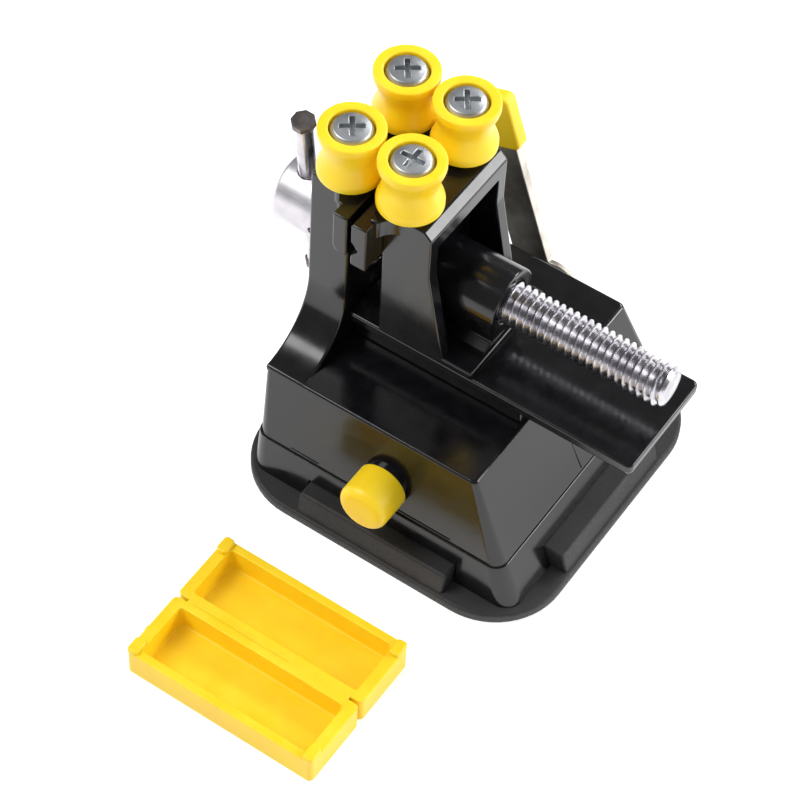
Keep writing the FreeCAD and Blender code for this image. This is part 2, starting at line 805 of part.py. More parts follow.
# Moving jaw: grooved cheek, hollow block with side flanges, foot and screw boss
def make_moving_jaw():
    jaw = new_body("moving_jaw")
    side, cheek_y = size("block_half_y"), size("cheek_half_y")
    cheek_top = jaw_top - size("cheek_sunk")
    cheek_low = cheek_top - size("cheek_rise")
    groove_z = cheek_low + size("notch_height")
    half = size("notch_half")
    cheek = [(cheek_face, cheek_low), (cheek_back, cheek_low), (cheek_back, cheek_top),
             (cheek_face, cheek_top), (cheek_face, groove_z + half),
             (cheek_face + size("notch_deep"), groove_z), (cheek_face, groove_z - half)]
    foot_low = rail_top + size("slide_play")
    foot_top = foot_low + size("foot_plate")
    end = block + size("top_long")
    knee = jaw_top - size("flange_knee")
    bevel = size("top_bevel")
    shell = [(block, foot_low), (block + size("flange_foot"), foot_low), (end, knee),
             (end, jaw_top - bevel), (end - bevel, jaw_top), (block, jaw_top)]
    prism(jaw, "shell", "XZ_Plane", (shell, {}), -side, side)
    inner = side - size("flange_thick")
    web = block + size("web_thick")
    far = block + size("foot_long")
    prism(jaw, "hollow", "XZ_Plane",
          plain(web, far, foot_top, jaw_top - size("top_plate")), -inner, inner, True)
    prism(jaw, "foot", "XZ_Plane", plain(block, far, foot_low, foot_top), -side, side)
    prism(jaw, "cheek", "XZ_Plane", (cheek, {}), -cheek_y, cheek_y)
    prism(jaw, "jaw_wings", "XY_Plane", wings(block, 1), cheek_top - size("wing_deep"), cheek_top)
    rod(jaw, "screw_boss", "YZ_Plane", (0, axis_z), size("boss_out"),
        web - 1, block + size("boss_long"))
    flare, slim = size("gusset_flare"), size("gusset_half_y")
    rib_low = foot_low + size("foot_plate") / 2
    rib = [(-flare, rib_low), (flare, rib_low), (slim, foot_low + size("gusset_rise")),
           (slim, axis_z), (-slim, axis_z), (-slim, foot_low + size("gusset_rise"))]
    prism(jaw, "boss_rib", "YZ_Plane", (rib, {}), web - 1, far - 0.5)
    spread = size("roller_half_y")
    for name, y in (("front_post", -spread), ("rear_post", spread)):
        rod(jaw, name, "XY_Plane", (moving_post, y), size("post_radius"),
            jaw_top - 1, post_top)
    # screw passage and the seat of the nut
    rod(jaw, "screw_passage", "YZ_Plane", (0, axis_z),
        size("screw_radius") + size("bearing_play") * 2, block - 1, block + size("boss_long") + 1,
        True)
    rod(jaw, "nut_seat", "YZ_Plane", (0, axis_z), size("nut_radius"), block - 1,
        block + size("nut_inset") + size("nut_long"), True)
    for name, y in (("front_screw_hole", -spread), ("rear_screw_hole", spread)):
        rod(jaw, name, "XY_Plane", (moving_post, y), size("roller_screw_radius") + play,
            post_top - size("roller_screw_depth"), post_top + 1, True)
    return jaw


def make_jaw_nut():
    nut = new_body("jaw_nut")
    left = block + size("nut_inset")
    right = left + size("nut_long")
    rod(nut, "nut_body", "YZ_Plane", (0, 0), size("nut_radius"), left, right)
    rod(nut, "nut_bore", "YZ_Plane", (0, 0), size("screw_radius") + play, left - 1, right + 1,
        True)
    seat(nut, 0, 0, axis_z)
    return nut


def make_roller(label, x, y):
    roller = new_body(label)
    outer, bore = size("roller_radius"), size("roller_screw_radius") + play
    high, lip = size("roller_high"), size("roller_lip")
    well, floor = size("roller_recess_radius"), size("roller_high") - size("roller_recess_deep")
    span = high / 2 - lip
    waist = size("roller_waist")
    curve = (span * span + waist * waist) / (waist * 2)
    points = [(bore, 0), (outer, 0), (outer, lip), (outer, high - lip), (outer, high),
              (well, high), (well, floor), (bore, floor)]
    turned(roller, "roller_form", "XZ_Plane", "Z_Axis", points, {2: (curve, "hollow")})
    seat(roller, x, y, roller_low)
    return roller


def make_roller_screw(label, x, y, turn):
    screw = new_body(label)
    shank, head = size("roller_screw_radius"), size("roller_screw_head")
    low = post_top - size("roller_screw_depth") + play - head_low
    deep, dome = size("roller_screw_head_deep"), size("head_dome")
    points = [(0, low), (shank, low), (shank, 0), (head, 0), (head, deep - dome * 2),
              (head - dome, deep - dome / 2), (head / 2, deep), (0, deep)]
    turned(screw, "screw_form", "XZ_Plane", "Z_Axis", points)
    arm, thin = size("cross_half"), size("cross_wide")
    floor = deep - size("cross_deep")
    prism(screw, "cross_one", "XY_Plane", plain(-arm, arm, -thin, thin), floor, deep + 1, True)
    prism(screw, "cross_two", "XY_Plane", plain(-thin, thin, -arm, arm), floor, deep + 1, True)
    seat(screw, x, y, head_low, Z_WAY, turn)
    return screw


def make_roller_washers(label, x):
    pieces = []
    for end, y in (("front", -size("roller_half_y")), ("rear", size("roller_half_y"))):
        pieces.append(ring("%s_%s" % (label, end), size("roller_washer_radius"),
                           size("roller_screw_radius") + play, size("roller_washer_thick"),
                           x, y, post_top))
    return group(label, pieces)


# Suction shaft through the housing, riveted over the lever
def make_cam_axle():
    axle = new_body("cam_axle")
    lever_y = back_seat + size("lever_washer_thick") + size("end_play") * 2
    outside = lever_y + size("lever_plate")
    radius, head = size("axle_radius"), size("axle_head_radius")
    crown = outside + size("axle_head_thick")
    points = [(0, -axle_end), (radius, -axle_end), (radius, outside),
              (head, outside), (head, crown), (0, crown)]
    turned(axle, "axle_form", "XY_Plane", "Y_Axis", points)
    seat(axle, axle_x, 0, axle_z)
    return axle


def make_lift_cam():
    cam = new_body("lift_cam")
    half = size("cam_half_y")
    drop = -size("cam_throw")
    rod(cam, "cam_disc", "XZ_Plane", (0, drop), size("cam_radius"), -half, half)
    rod(cam, "cam_bore", "XZ_Plane", (0, 0), size("axle_radius"), -half - 1, half + 1, True)
    seat(cam, axle_x, 0, axle_z, Y_WAY, size("cam_turn"))
    return cam


def make_axle_cap():
    cap = new_body("axle_cap")
    inner = -front_seat - size("end_play") * 2
    outer = inner - size("cap_long")
    radius, bend, bore = size("cap_radius"), size("cap_round"), size("axle_radius")
    floor = -axle_end
    points = [(0, outer), (radius - bend, outer), (radius, outer + bend), (radius, inner),
              (bore, inner), (bore, floor), (0, floor)]
    turned(cap, "cap_form", "XY_Plane", "Y_Axis", points, {1: (bend, "round")})
    seat(cap, axle_x, 0, axle_z)
    return cap


def make_lever_washer():
    washer = new_body("lever_washer")
    near = back_seat + size("end_play")
    far = near + size("lever_washer_thick")
    rod(washer, "washer_disc", "XZ_Plane", (0, 0), size("lever_washer_radius"), near, far)
    rod(washer, "washer_hole", "XZ_Plane", (0, 0), size("axle_radius"), near - 1, far + 1, True)
    seat(washer, axle_x, 0, axle_z)
    return washer


# Channel-section steel lever, offset from its shaft
def make_lever_arm():
    arm = new_body("lever_arm")
    near = back_seat + size("lever_washer_thick") + size("end_play") * 2
    plate, deep = near + size("lever_plate"), near + size("lever_flange")
    left = -size("lever_offset") - size("lever_wide") / 2
    right = left + size("lever_wide")
    long, eye = size("lever_long"), size("lever_eye")
    rod(arm, "eye", "XZ_Plane", (0, 0), eye, near, plate)
    prism(arm, "web", "XZ_Plane", plain(left, right, 0, long), near, plate)
    thick = size("lever_plate")
    start = eye
    prism(arm, "left_flange", "XZ_Plane", plain(left, left + thick, start, long), near, deep)
    prism(arm, "right_flange", "XZ_Plane", plain(right - thick, right, start, long), near, deep)
    rod(arm, "shaft_hole", "XZ_Plane", (0, 0), size("axle_radius"), near - 1, deep + 1, True)
    seat(arm, axle_x, 0, axle_z, Y_WAY, -size("lever_lean"))
    return arm


def make_lever_grip():
    grip = new_body("lever_grip")
    near = back_seat + size("lever_washer_thick") + size("end_play") * 2
    inner = near - size("grip_inner")
    outer = inner + size("grip_thick")
    left = -size("lever_offset") - size("grip_wide") / 2
    right = left + size("grip_wide")
    low, high = size("grip_start"), size("grip_end")
    prism(grip, "grip_form", "XZ_Plane", rounded(left, right, low, high, size("grip_round")),
          inner, outer)
    soften(grip, "grip_edges", lambda edge: edge.BoundBox.YLength < 1e-6, size("grip_round") / 2)
    strip = -size("lever_offset") - size("lever_wide") / 2
    prism(grip, "strip_slot", "XZ_Plane",
          plain(strip, strip + size("lever_wide"), low - 1, size("lever_long")),
          near, near + size("lever_flange"), True)
    seat(grip, axle_x, 0, axle_z, Y_WAY, -size("lever_lean"))
    return grip


# Plunger: yoke round the cam, stem and disc that pulls the pad
def make_suction_plunger():
    plunger = new_body("suction_plunger")
    depth = size("yoke_half_y")
    drop = size("cam_throw") * cosine(size("cam_turn"))
    window_low = axle_z - drop - size("cam_radius") - size("cam_play")
    window_high = axle_z - drop + size("cam_radius") + size("cam_play")
    inner, wall, bar = size("yoke_inner"), size("yoke_wall"), size("yoke_bar")
    prism(plunger, "yoke", "XZ_Plane",
          plain(axle_x - inner - wall, axle_x + inner + wall, window_low - bar,
                window_high + bar), -depth, depth)
    prism(plunger, "window", "XZ_Plane",
          plain(axle_x - inner, axle_x + inner, window_low, window_high),
          -depth - 1, depth + 1, True)
    disc_low = pad_top + size("boss_rise") + size("disc_play")
    rod(plunger, "disc", "XY_Plane", (axle_x, 0), size("disc_radius"),
        disc_low, disc_low + size("disc_thick"))
    rod(plunger, "stem", "XY_Plane", (axle_x, 0), size("stem_radius"),
        disc_low + size("disc_thick") / 2, window_low - bar / 2)
    return plunger


# Soft jaw covers: two shallow trays side by side, joined by a thin fold
def make_cover(label, far, near, fold_side):
    cover = new_body(label)
    left = -size("cover_left")
    right = left + size("cover_long")
    high = size("cover_high")
    prism(cover, "block", "XY_Plane", plain(left, right, far, near), 0, high)
    soften(cover, "corners", lambda edge: along(edge, Z_WAY), size("cover_corner"))
    mid_x, mid_y = (left + right) / 2, (far + near) / 2
    long, wide = size("cover_pocket_long") / 2, size("cover_pocket_wide") / 2
    prism(cover, "pocket", "XY_Plane",
          plain(mid_x - long, mid_x + long, mid_y - wide, mid_y + wide),
          high - size("cover_pocket_deep"), high + 1, True)
    ear, deep = size("ear_long"), size("ear_wide")
    rim = size("cover_corner")
    lift = high + size("ear_rise")
    outside = far + rim if fold_side > 0 else near - rim - deep
    sink = high - size("ear_rise")
    prism(cover, "left_ear", "XY_Plane",
          plain(left, left + ear, outside, outside + deep), sink, lift)
    prism(cover, "right_ear", "XY_Plane",
          plain(right - ear, right, outside, outside + deep), sink, lift)
    return cover


def make_covers():
    near = -size("cover_near_y")
    split = near - size("cover_wide")
    back = make_cover("soft_jaw_cover_back", split, near, -1)
    far = split - size("cover_split")
    front = make_cover("soft_jaw_cover_front", far - size("cover_wide"), far, 1)
    left = -size("cover_left")
    right = left + size("cover_long")
    high = size("cover_high")
    inset = size("fold_notch") * 2
    prism(front, "fold_strip", "XY_Plane",
          plain(left + inset, right - inset, far - size("cover_corner"), split),
          high - size("hinge_thick"), high)
    outer = far - size("cover_wide")
    middle = (outer + far) / 2
    prism(front, "end_step", "XY_Plane",
          plain(right - size("step_long"), right + 1, middle, far + 1),
          high - size("step_drop"), high + 1, True)
    rod(front, "sprue", "YZ_Plane", (middle, high / 2), size("sprue_radius"),
        left - size("sprue_long"), left + 1)
    return front, back


half_y, upright = size("roller_half_y"), size("cross_turn")
covers = make_covers()
nodes = [
    make_base_housing(),
    make_suction_pad(),
    make_guide_rail(),
    make_rail_screws(),
    make_lead_screw(),
    make_screw_hub(),
    make_hub_pin(),
    make_thrust_washer(),
    make_retaining_clip(),
    make_tommy_bar(),
    make_tommy_bar_heads(),
    make_moving_jaw(),
    make_jaw_nut(),
    make_roller("roller_fixed_front", fixed_post, -half_y),
    make_roller("roller_fixed_rear", fixed_post, half_y),
    make_roller("roller_moving_front", moving_post, -half_y),
    make_roller("roller_moving_rear", moving_post, half_y),
    make_roller_screw("roller_screw_fixed_front", fixed_post, -half_y, upright),
    make_roller_screw("roller_screw_fixed_rear", fixed_post, half_y, upright),
    make_roller_screw("roller_screw_moving_front", moving_post, -half_y, wrap(0)),
    make_roller_screw("roller_screw_moving_rear", moving_post, half_y, upright),
    make_roller_washers("fixed_roller_washers", fixed_post),
    make_roller_washers("moving_roller_washers", moving_post),
    make_cam_axle(),
    make_lift_cam(),
    make_axle_cap(),
    make_lever_washer(),
    make_lever_arm(),
    make_lever_grip(),
    make_suction_plunger(),
    covers[0],
    covers[1],
]

doc.recompute()
for item in doc.Objects:
    if "Invalid" in item.State or "Error" in item.State:
        raise RuntimeError("%s: %s" % (item.Name, item.State))
os.makedirs("parts", exist_ok=True)
for node in nodes:
    if node.Shape.isNull() or not node.Shape.isValid():
        raise RuntimeError("%s has no valid shape" % node.Label)
    node.Shape.exportStep("parts/%s.step" % node.Label)
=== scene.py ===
import json
import math

import bmesh
import bpy
from mathutils import Matrix, Vector

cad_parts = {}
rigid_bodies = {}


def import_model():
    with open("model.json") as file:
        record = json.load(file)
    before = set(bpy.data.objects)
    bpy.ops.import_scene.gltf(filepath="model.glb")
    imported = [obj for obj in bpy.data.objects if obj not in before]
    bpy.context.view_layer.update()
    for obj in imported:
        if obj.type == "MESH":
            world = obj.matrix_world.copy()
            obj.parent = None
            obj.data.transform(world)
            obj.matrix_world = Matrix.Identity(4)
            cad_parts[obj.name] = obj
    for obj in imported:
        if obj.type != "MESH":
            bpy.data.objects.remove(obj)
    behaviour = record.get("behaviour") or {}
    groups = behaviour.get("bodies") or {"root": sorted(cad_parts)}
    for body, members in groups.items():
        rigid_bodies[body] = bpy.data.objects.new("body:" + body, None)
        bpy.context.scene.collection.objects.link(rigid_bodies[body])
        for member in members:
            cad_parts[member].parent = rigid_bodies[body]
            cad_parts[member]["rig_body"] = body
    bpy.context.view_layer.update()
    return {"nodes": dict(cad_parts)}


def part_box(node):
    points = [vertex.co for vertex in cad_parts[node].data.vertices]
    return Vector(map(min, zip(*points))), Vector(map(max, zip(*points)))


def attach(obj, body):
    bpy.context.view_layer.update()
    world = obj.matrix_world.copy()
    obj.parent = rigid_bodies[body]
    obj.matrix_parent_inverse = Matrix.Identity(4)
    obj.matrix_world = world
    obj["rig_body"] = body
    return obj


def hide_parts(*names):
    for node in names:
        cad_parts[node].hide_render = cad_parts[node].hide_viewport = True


bl_info = {
    "name": "Circuit Board Vise",
    "version": (1, 0, 0),
    "blender": (4, 5, 0),
    "location": "View3D > Sidebar > Vise",
    "description": "Dresses the packed circuit board vise: mouldings, rollers, screw, lever, covers, stage",
    "category": "Object",
}

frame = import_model()
MM = 0.001

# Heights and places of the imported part, in millimetres
PAD_TOP = 2.2
BELT = PAD_TOP + 8.3
DECK = BELT + 16.5
JAW_TOP = DECK + 39.0
RAIL_TOP = DECK + 7.7
POST_TOP = JAW_TOP + 0.6
UPRIGHT = -28.0
JAW_FACE = UPRIGHT + 8.2
CLAMP_FACE = JAW_FACE + 2.8
CLAMP_BACK = CLAMP_FACE - 2.9
CHEEK_FACE = CLAMP_FACE + 0.8
BLOCK = CHEEK_FACE + 3.0
CHEEK_TOP = JAW_TOP - 0.5
COVER_HIGH = 6.0

# Forms of the two jaws, in millimetres
JAW_HALF = 16.8
CLAMP_DEEP = 9.2
CHEEK_RISE = 10.2
NOTCH_LEVEL, NOTCH_DEEP, NOTCH_HALF = 4.0, 1.5, 1.8
BLOCK_HALF = 11.6
WEB_HALF, WEB_FLAT, WEB_LONG, WEB_DEEP = 14.4, 0.7, 3.5, 4.0

# Turned parts, in millimetres
ROLLER_RIM, ROLLER_WELL, ROLLER_BORE = 5.85, 4.0, 2.05
ROLLER_LIP, ROLLER_SINK = 1.25, 1.9
SHAFT_HOLE, CAP_RADIUS, CAP_BEND = 3.05, 4.8, 1.6
SCREW_CREST, SCREW_BEVEL = 3.97, 0.85
BAR_RADIUS, BAR_HALF = 1.75, 20.4
HEAD_RADIUS, HEAD_INNER, HEAD_OUTER = 2.28, 19.95, 21.25

# Turns that lay a turned part along the screw or along the lever shaft
ALONG_SCREW = Matrix.Rotation(math.pi / 2, 4, "Y")
ALONG_SHAFT = Matrix.Rotation(math.pi / 2, 4, "X")


# ---------------------------------------------------------------- colour and node helpers
def linear(hex_code):
    """sRGB hex to a linear colour with alpha."""
    parts = [int(hex_code[i:i + 2], 16) / 255 for i in (1, 3, 5)]
    return tuple(c / 12.92 if c <= 0.04045 else ((c + 0.055) / 1.055) ** 2.4 for c in parts) + (1.0,)


def add_node(tree, kind, settings=None, values=None, links=None):
    """One node: settings are attributes, values are socket values, links feed sockets."""
    node = tree.nodes.new(kind)
    for name, value in (settings or {}).items():
        setattr(node, name, value)
    for name, value in (values or {}).items():
        node.inputs[name].default_value = value
    for name, source in (links or {}).items():
        tree.links.new(source, node.inputs[name])
    return node


def ramp_stops(node, stops):
    """Colour ramp stops: list of (position, linear colour)."""
    ramp = node.color_ramp
    while len(ramp.elements) < len(stops):
        ramp.elements.new(0.5)
    for element, (place, colour) in zip(ramp.elements, stops):
        element.position = place
        element.color = colour


def new_material(name):
    """Empty node material, its tree, and the object coordinates in metres."""
    material = bpy.data.materials.new(name)
    material.use_nodes = True
    tree = material.node_tree
    tree.nodes.clear()
    where = add_node(tree, "ShaderNodeTexCoord").outputs["Object"]
    return material, tree, where


def close_material(tree, shader):
    """Send the finished shader to the surface."""
    add_node(tree, "ShaderNodeOutputMaterial", links={"Surface": shader.outputs[0]})


# ---------------------------------------------------------------- materials
def glossy_abs(colour):
    """Injection moulded ABS from a polished tool: deep black, sharp reflections with faint waves."""
    material, tree, where = new_material("glossy_abs")
    # sink waves about 9 mm apart, and polish haze patches about 3 mm across
    waves = add_node(tree, "ShaderNodeTexNoise", values={"Scale": 1 / (9 * MM), "Detail": 1.0},
                     links={"Vector": where})
    haze = add_node(tree, "ShaderNodeTexNoise", values={"Scale": 1 / (3 * MM), "Detail": 5.0},
                    links={"Vector": where})
    gloss = add_node(tree, "ShaderNodeMapRange",
                     values={"From Min": 0.3, "From Max": 0.7, "To Min": 0.13, "To Max": 0.2},
                     links={"Value": haze.outputs["Fac"]})
    # the faintest grey bloom over the pigment
    tone = add_node(tree, "ShaderNodeValToRGB", links={"Fac": haze.outputs["Fac"]})
    ramp_stops(tone, [(0.25, linear(colour)), (0.85, linear("#17171A"))])
    bump = add_node(tree, "ShaderNodeBump", values={"Strength": 0.10, "Distance": 0.35 * MM},
                    links={"Height": waves.outputs["Fac"]})
    shader = add_node(tree, "ShaderNodeBsdfPrincipled",
                      values={"IOR": 1.54, "Metallic": 0.0},
                      links={"Base Color": tone.outputs["Color"], "Roughness": gloss.outputs["Result"],
                             "Normal": bump.outputs["Normal"]})
    close_material(tree, shader)
    return material


def satin_nylon(colour):
    """Moulded yellow nylon: opaque pigment with a little light inside, satin skin."""
    material, tree, where = new_material("satin_nylon")
    # flow marks about 6 mm apart, grain of the tool about 0.3 mm
    flow = add_node(tree, "ShaderNodeTexNoise", values={"Scale": 1 / (6 * MM), "Detail": 3.0},
                    links={"Vector": where})
    grain = add_node(tree, "ShaderNodeTexNoise", values={"Scale": 1 / (0.3 * MM), "Detail": 2.0},
                     links={"Vector": where})
    tone = add_node(tree, "ShaderNodeValToRGB", links={"Fac": flow.outputs["Fac"]})
    ramp_stops(tone, [(0.3, linear(colour)), (0.75, linear("#FFDC20"))])
    gloss = add_node(tree, "ShaderNodeMapRange",
                     values={"From Min": 0.3, "From Max": 0.7, "To Min": 0.34, "To Max": 0.46},
                     links={"Value": flow.outputs["Fac"]})
    bump = add_node(tree, "ShaderNodeBump", values={"Strength": 0.10, "Distance": 0.05 * MM},
                    links={"Height": grain.outputs["Fac"]})
    shader = add_node(tree, "ShaderNodeBsdfPrincipled",
                      values={"IOR": 1.53, "Subsurface Weight": 0.25,
                              "Subsurface Radius": (1.0, 0.62, 0.12), "Subsurface Scale": 1.2 * MM},
                      links={"Base Color": tone.outputs["Color"], "Roughness": gloss.outputs["Result"],
                             "Normal": bump.outputs["Normal"]})
    close_material(tree, shader)
    return material


def black_rubber(colour):
    """Moulded natural rubber: matte, slightly brown-black, fine grain that breaks up the light."""
    material, tree, where = new_material("black_rubber")
    # grain of 0.5 mm, drawn twice as coarse as real so that it shows
    grain = add_node(tree, "ShaderNodeTexNoise", values={"Scale": 1 / (0.5 * MM), "Detail": 4.0},
                     links={"Vector": where})
    dust = add_node(tree, "ShaderNodeTexNoise", values={"Scale": 1 / (12 * MM), "Detail": 6.0},
                    links={"Vector": where})
    tone = add_node(tree, "ShaderNodeValToRGB", links={"Fac": dust.outputs["Fac"]})
    ramp_stops(tone, [(0.35, linear(colour)), (0.8, linear("#2E2D2E"))])
    gloss = add_node(tree, "ShaderNodeMapRange",
                     values={"From Min": 0.3, "From Max": 0.7, "To Min": 0.5, "To Max": 0.66},
                     links={"Value": grain.outputs["Fac"]})
    bump = add_node(tree, "ShaderNodeBump", values={"Strength": 0.25, "Distance": 0.06 * MM},
                    links={"Height": grain.outputs["Fac"]})
    shader = add_node(tree, "ShaderNodeBsdfPrincipled", values={"IOR": 1.52},
                      links={"Base Color": tone.outputs["Color"], "Roughness": gloss.outputs["Result"],
                             "Normal": bump.outputs["Normal"]})
    close_material(tree, shader)
    return material


def plated_steel(name, colour, shade, rough, streak, along):
    """Plated steel: drawing or turning marks run along one way, the plating clouds a little."""
    material, tree, where = new_material(name)
    # marks about 0.15 mm apart and 12 times as long as they are wide
    stretch = [1.0, 1.0, 1.0]
    stretch[along] = 1 / 12
    lines = add_node(tree, "ShaderNodeMapping", values={"Scale": stretch}, links={"Vector": where})
    marks = add_node(tree, "ShaderNodeTexNoise", values={"Scale": 1 / (0.15 * MM), "Detail": 3.0},
                     links={"Vector": lines.outputs["Vector"]})
    clouds = add_node(tree, "ShaderNodeTexNoise", values={"Scale": 1 / (4 * MM), "Detail": 5.0},
                      links={"Vector": where})
    tone = add_node(tree, "ShaderNodeValToRGB", links={"Fac": clouds.outputs["Fac"]})
    ramp_stops(tone, [(0.3, linear(shade)), (0.65, linear(colour))])
    gloss = add_node(tree, "ShaderNodeMapRange",
                     values={"From Min": 0.3, "From Max": 0.7, "To Min": rough, "To Max": rough + 0.14},
                     links={"Value": marks.outputs["Fac"]})
    bump = add_node(tree, "ShaderNodeBump", values={"Strength": streak, "Distance": 0.03 * MM},
                    links={"Height": marks.outputs["Fac"]})
    shader = add_node(tree, "ShaderNodeBsdfPrincipled", values={"Metallic": 1.0},
                      links={"Base Color": tone.outputs["Color"], "Roughness": gloss.outputs["Result"],
                             "Normal": bump.outputs["Normal"]})
    close_material(tree, shader)
    return material


def sweep_paper():
    """Pale seamless paper: plain white towards the eye and in reflections, with the real shadow on it."""
    material, tree, where = new_material("sweep_paper")
    # pulp fibres about 1 mm, far too faint to stand out
    fibre = add_node(tree, "ShaderNodeTexNoise", values={"Scale": 1 / (1.0 * MM), "Detail": 3.0},
                     links={"Vector": where})
    tone = add_node(tree, "ShaderNodeValToRGB", links={"Fac": fibre.outputs["Fac"]})
    ramp_stops(tone, [(0.0, linear("#EDEDED")), (1.0, linear("#F1F1F1"))])
    paper = add_node(tree, "ShaderNodeBsdfDiffuse", links={"Color": tone.outputs["Color"]})
    path = add_node(tree, "ShaderNodeLightPath")
    seen = add_node(tree, "ShaderNodeMath", {"operation": "MAXIMUM"})
    tree.links.new(path.outputs["Is Camera Ray"], seen.inputs[0])
    tree.links.new(path.outputs["Is Glossy Ray"], seen.inputs[1])
    seen_all = add_node(tree, "ShaderNodeMath", {"operation": "MAXIMUM"})
    tree.links.new(seen.outputs[0], seen_all.inputs[0])
    tree.links.new(path.outputs["Is Transmission Ray"], seen_all.inputs[1])
    lift = add_node(tree, "ShaderNodeMath", {"operation": "MULTIPLY"})
    lift.inputs[1].default_value = 0.5
    tree.links.new(seen_all.outputs[0], lift.inputs[0])
    glow = add_node(tree, "ShaderNodeEmission", values={"Color": (1, 1, 1, 1)},
                    links={"Strength": lift.outputs[0]})
    both = add_node(tree, "ShaderNodeAddShader")
    tree.links.new(paper.outputs[0], both.inputs[0])
    tree.links.new(glow.outputs[0], both.inputs[1])
    close_material(tree, both)
    return material


FINISHES = {}


def finish_named(name):
    """Each finish is made once and shared."""
    tint = bpy.context.scene.vise_colours
    makers = {
        "glossy_abs": lambda: glossy_abs(tint.moulding),
        "satin_nylon": lambda: satin_nylon(tint.nylon),
        "black_rubber": lambda: black_rubber(tint.rubber),
        "zinc_thread": lambda: plated_steel("zinc_thread", "#CBC9CE", "#A9A7AD", 0.18, 0.05, 1),
        "zinc_sheet": lambda: plated_steel("zinc_sheet", "#D6D1C8", "#B2ACA1", 0.34, 0.3, 2),
        "bright_chrome": lambda: plated_steel("bright_chrome", "#D3D0D4", "#B6B3B8", 0.14, 0.06, 0),
        "satin_chrome": lambda: plated_steel("satin_chrome", "#DCD9DE", "#C6C3C9", 0.34, 0.12, 0),
        "screw_zinc": lambda: plated_steel("screw_zinc", "#CACDD0", "#AAADB1", 0.38, 0.08, 0),
        "worn_steel": lambda: plated_steel("worn_steel", "#8C8684", "#67615F", 0.34, 0.2, 2),
        "turned_brass": lambda: plated_steel("turned_brass", "#D3B26A", "#B18F4A", 0.2, 0.15, 1),
    }
    if name not in FINISHES:
        FINISHES[name] = makers[name]()
    return FINISHES[name]


# ---------------------------------------------------------------- mesh helpers
def settle(piece, body, finish, nodes, smooth=35):
    """Finish a new piece: smooth shading by angle, material and body; the nodes it stands for are hidden."""
    for face in piece.data.polygons:
        face.use_smooth = True
    edges = bmesh.new()
    edges.from_mesh(piece.data)
    for edge in edges.edges:
        if len(edge.link_faces) == 2:
            edge.smooth = edge.calc_face_angle(0) < math.radians(smooth)
    edges.to_mesh(piece.data)
    edges.free()
    piece.data.materials.clear()
    piece.data.materials.append(finish_named(finish))
    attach(piece, body)
    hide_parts(*nodes)
    return piece


def corner_arcs(points, steps=5):
    """Closed loop of (u, v, radius) corners; every corner becomes an arc of its radius."""
    made = []
    count = len(points)
    for index, (u, v, radius) in enumerate(points):
        here = Vector((u, v))
        into = Vector(points[index - 1][:2]) - here
        out = Vector(points[(index + 1) % count][:2]) - here
        if radius <= 0:
            made.append((u, v))
            continue
        half = into.angle(out) / 2
        reach = radius / math.tan(half)
        centre = here + (into.normalized() + out.normalized()).normalized() * radius / math.sin(half)
        start = here + into.normalized() * reach - centre
        end = here + out.normalized() * reach - centre
        sweep = start.angle(end)
        turn = 1 if start.x * end.y - start.y * end.x > 0 else -1
        for step in range(steps + 1):
            angle = turn * sweep * step / steps
            made.append((centre.x + start.x * math.cos(angle) - start.y * math.sin(angle),
                         centre.y + start.x * math.sin(angle) + start.y * math.cos(angle)))
    return made


def box_loop(left, right, low, high, corner, steps=8):
    """Rectangle with round corners, always with the same number of points."""
    return corner_arcs([(left, low, corner), (right, low, corner), (right, high, corner),
                        (left, high, corner)], steps)


def lofted(name, rings):
    """Skin over rings of (height, loop); all loops have the same number of points."""
    form = bmesh.new()
    rows = [[form.verts.new((x * MM, y * MM, height * MM)) for x, y in loop]
            for height, loop in rings]
    for low, high in zip(rows, rows[1:]):
        for index, spot in enumerate(low):
            after = (index + 1) % len(low)
            form.faces.new((spot, low[after], high[after], high[index]))
    form.faces.new(rows[0][::-1])
    form.faces.new(rows[-1])
    return link_mesh(name, form)


def ease(piece, edge, steps=3, turn=28, clamp=True):
    """Real radius on every edge that turns by more than so many degrees."""
    if edge > 0:
        rounding = piece.modifiers.new("rounded_edges", "BEVEL")
        rounding.width = edge * MM
        rounding.segments = steps
        rounding.limit_method = "ANGLE"
        rounding.angle_limit = math.radians(turn)
        rounding.miter_outer = "MITER_ARC"
        rounding.use_clamp_overlap = clamp
    even = piece.modifiers.new("even_normals", "WEIGHTED_NORMAL")
    even.keep_sharp = True
    return piece


def slab(name, axis, loop, low, high):
    """Plate: a loop drawn across one axis and pushed along it from low to high.

    Across X the loop is (y, z), across Y it is (x, z), across Z it is (x, y).
    """
    place = {"X": lambda u, v, w: (w, u, v), "Y": lambda u, v, w: (u, w, v),
             "Z": lambda u, v, w: (u, v, w)}[axis]
    form = bmesh.new()
    ends = [[form.verts.new(Vector(place(point[0], point[1], depth)) * MM) for point in loop]
            for depth in (low, high)]
    form.faces.new(ends[0][::-1])
    form.faces.new(ends[1])
    for index in range(len(loop)):
        after = (index + 1) % len(loop)
        form.faces.new((ends[0][index], ends[0][after], ends[1][after], ends[1][index]))
    return link_mesh(name, form)


def block_form(name, xs, ys, zs):
    """Plain block between the given sides."""
    return slab(name, "Z", [(xs[0], ys[0]), (xs[1], ys[0]), (xs[1], ys[1]), (xs[0], ys[1])], *zs)


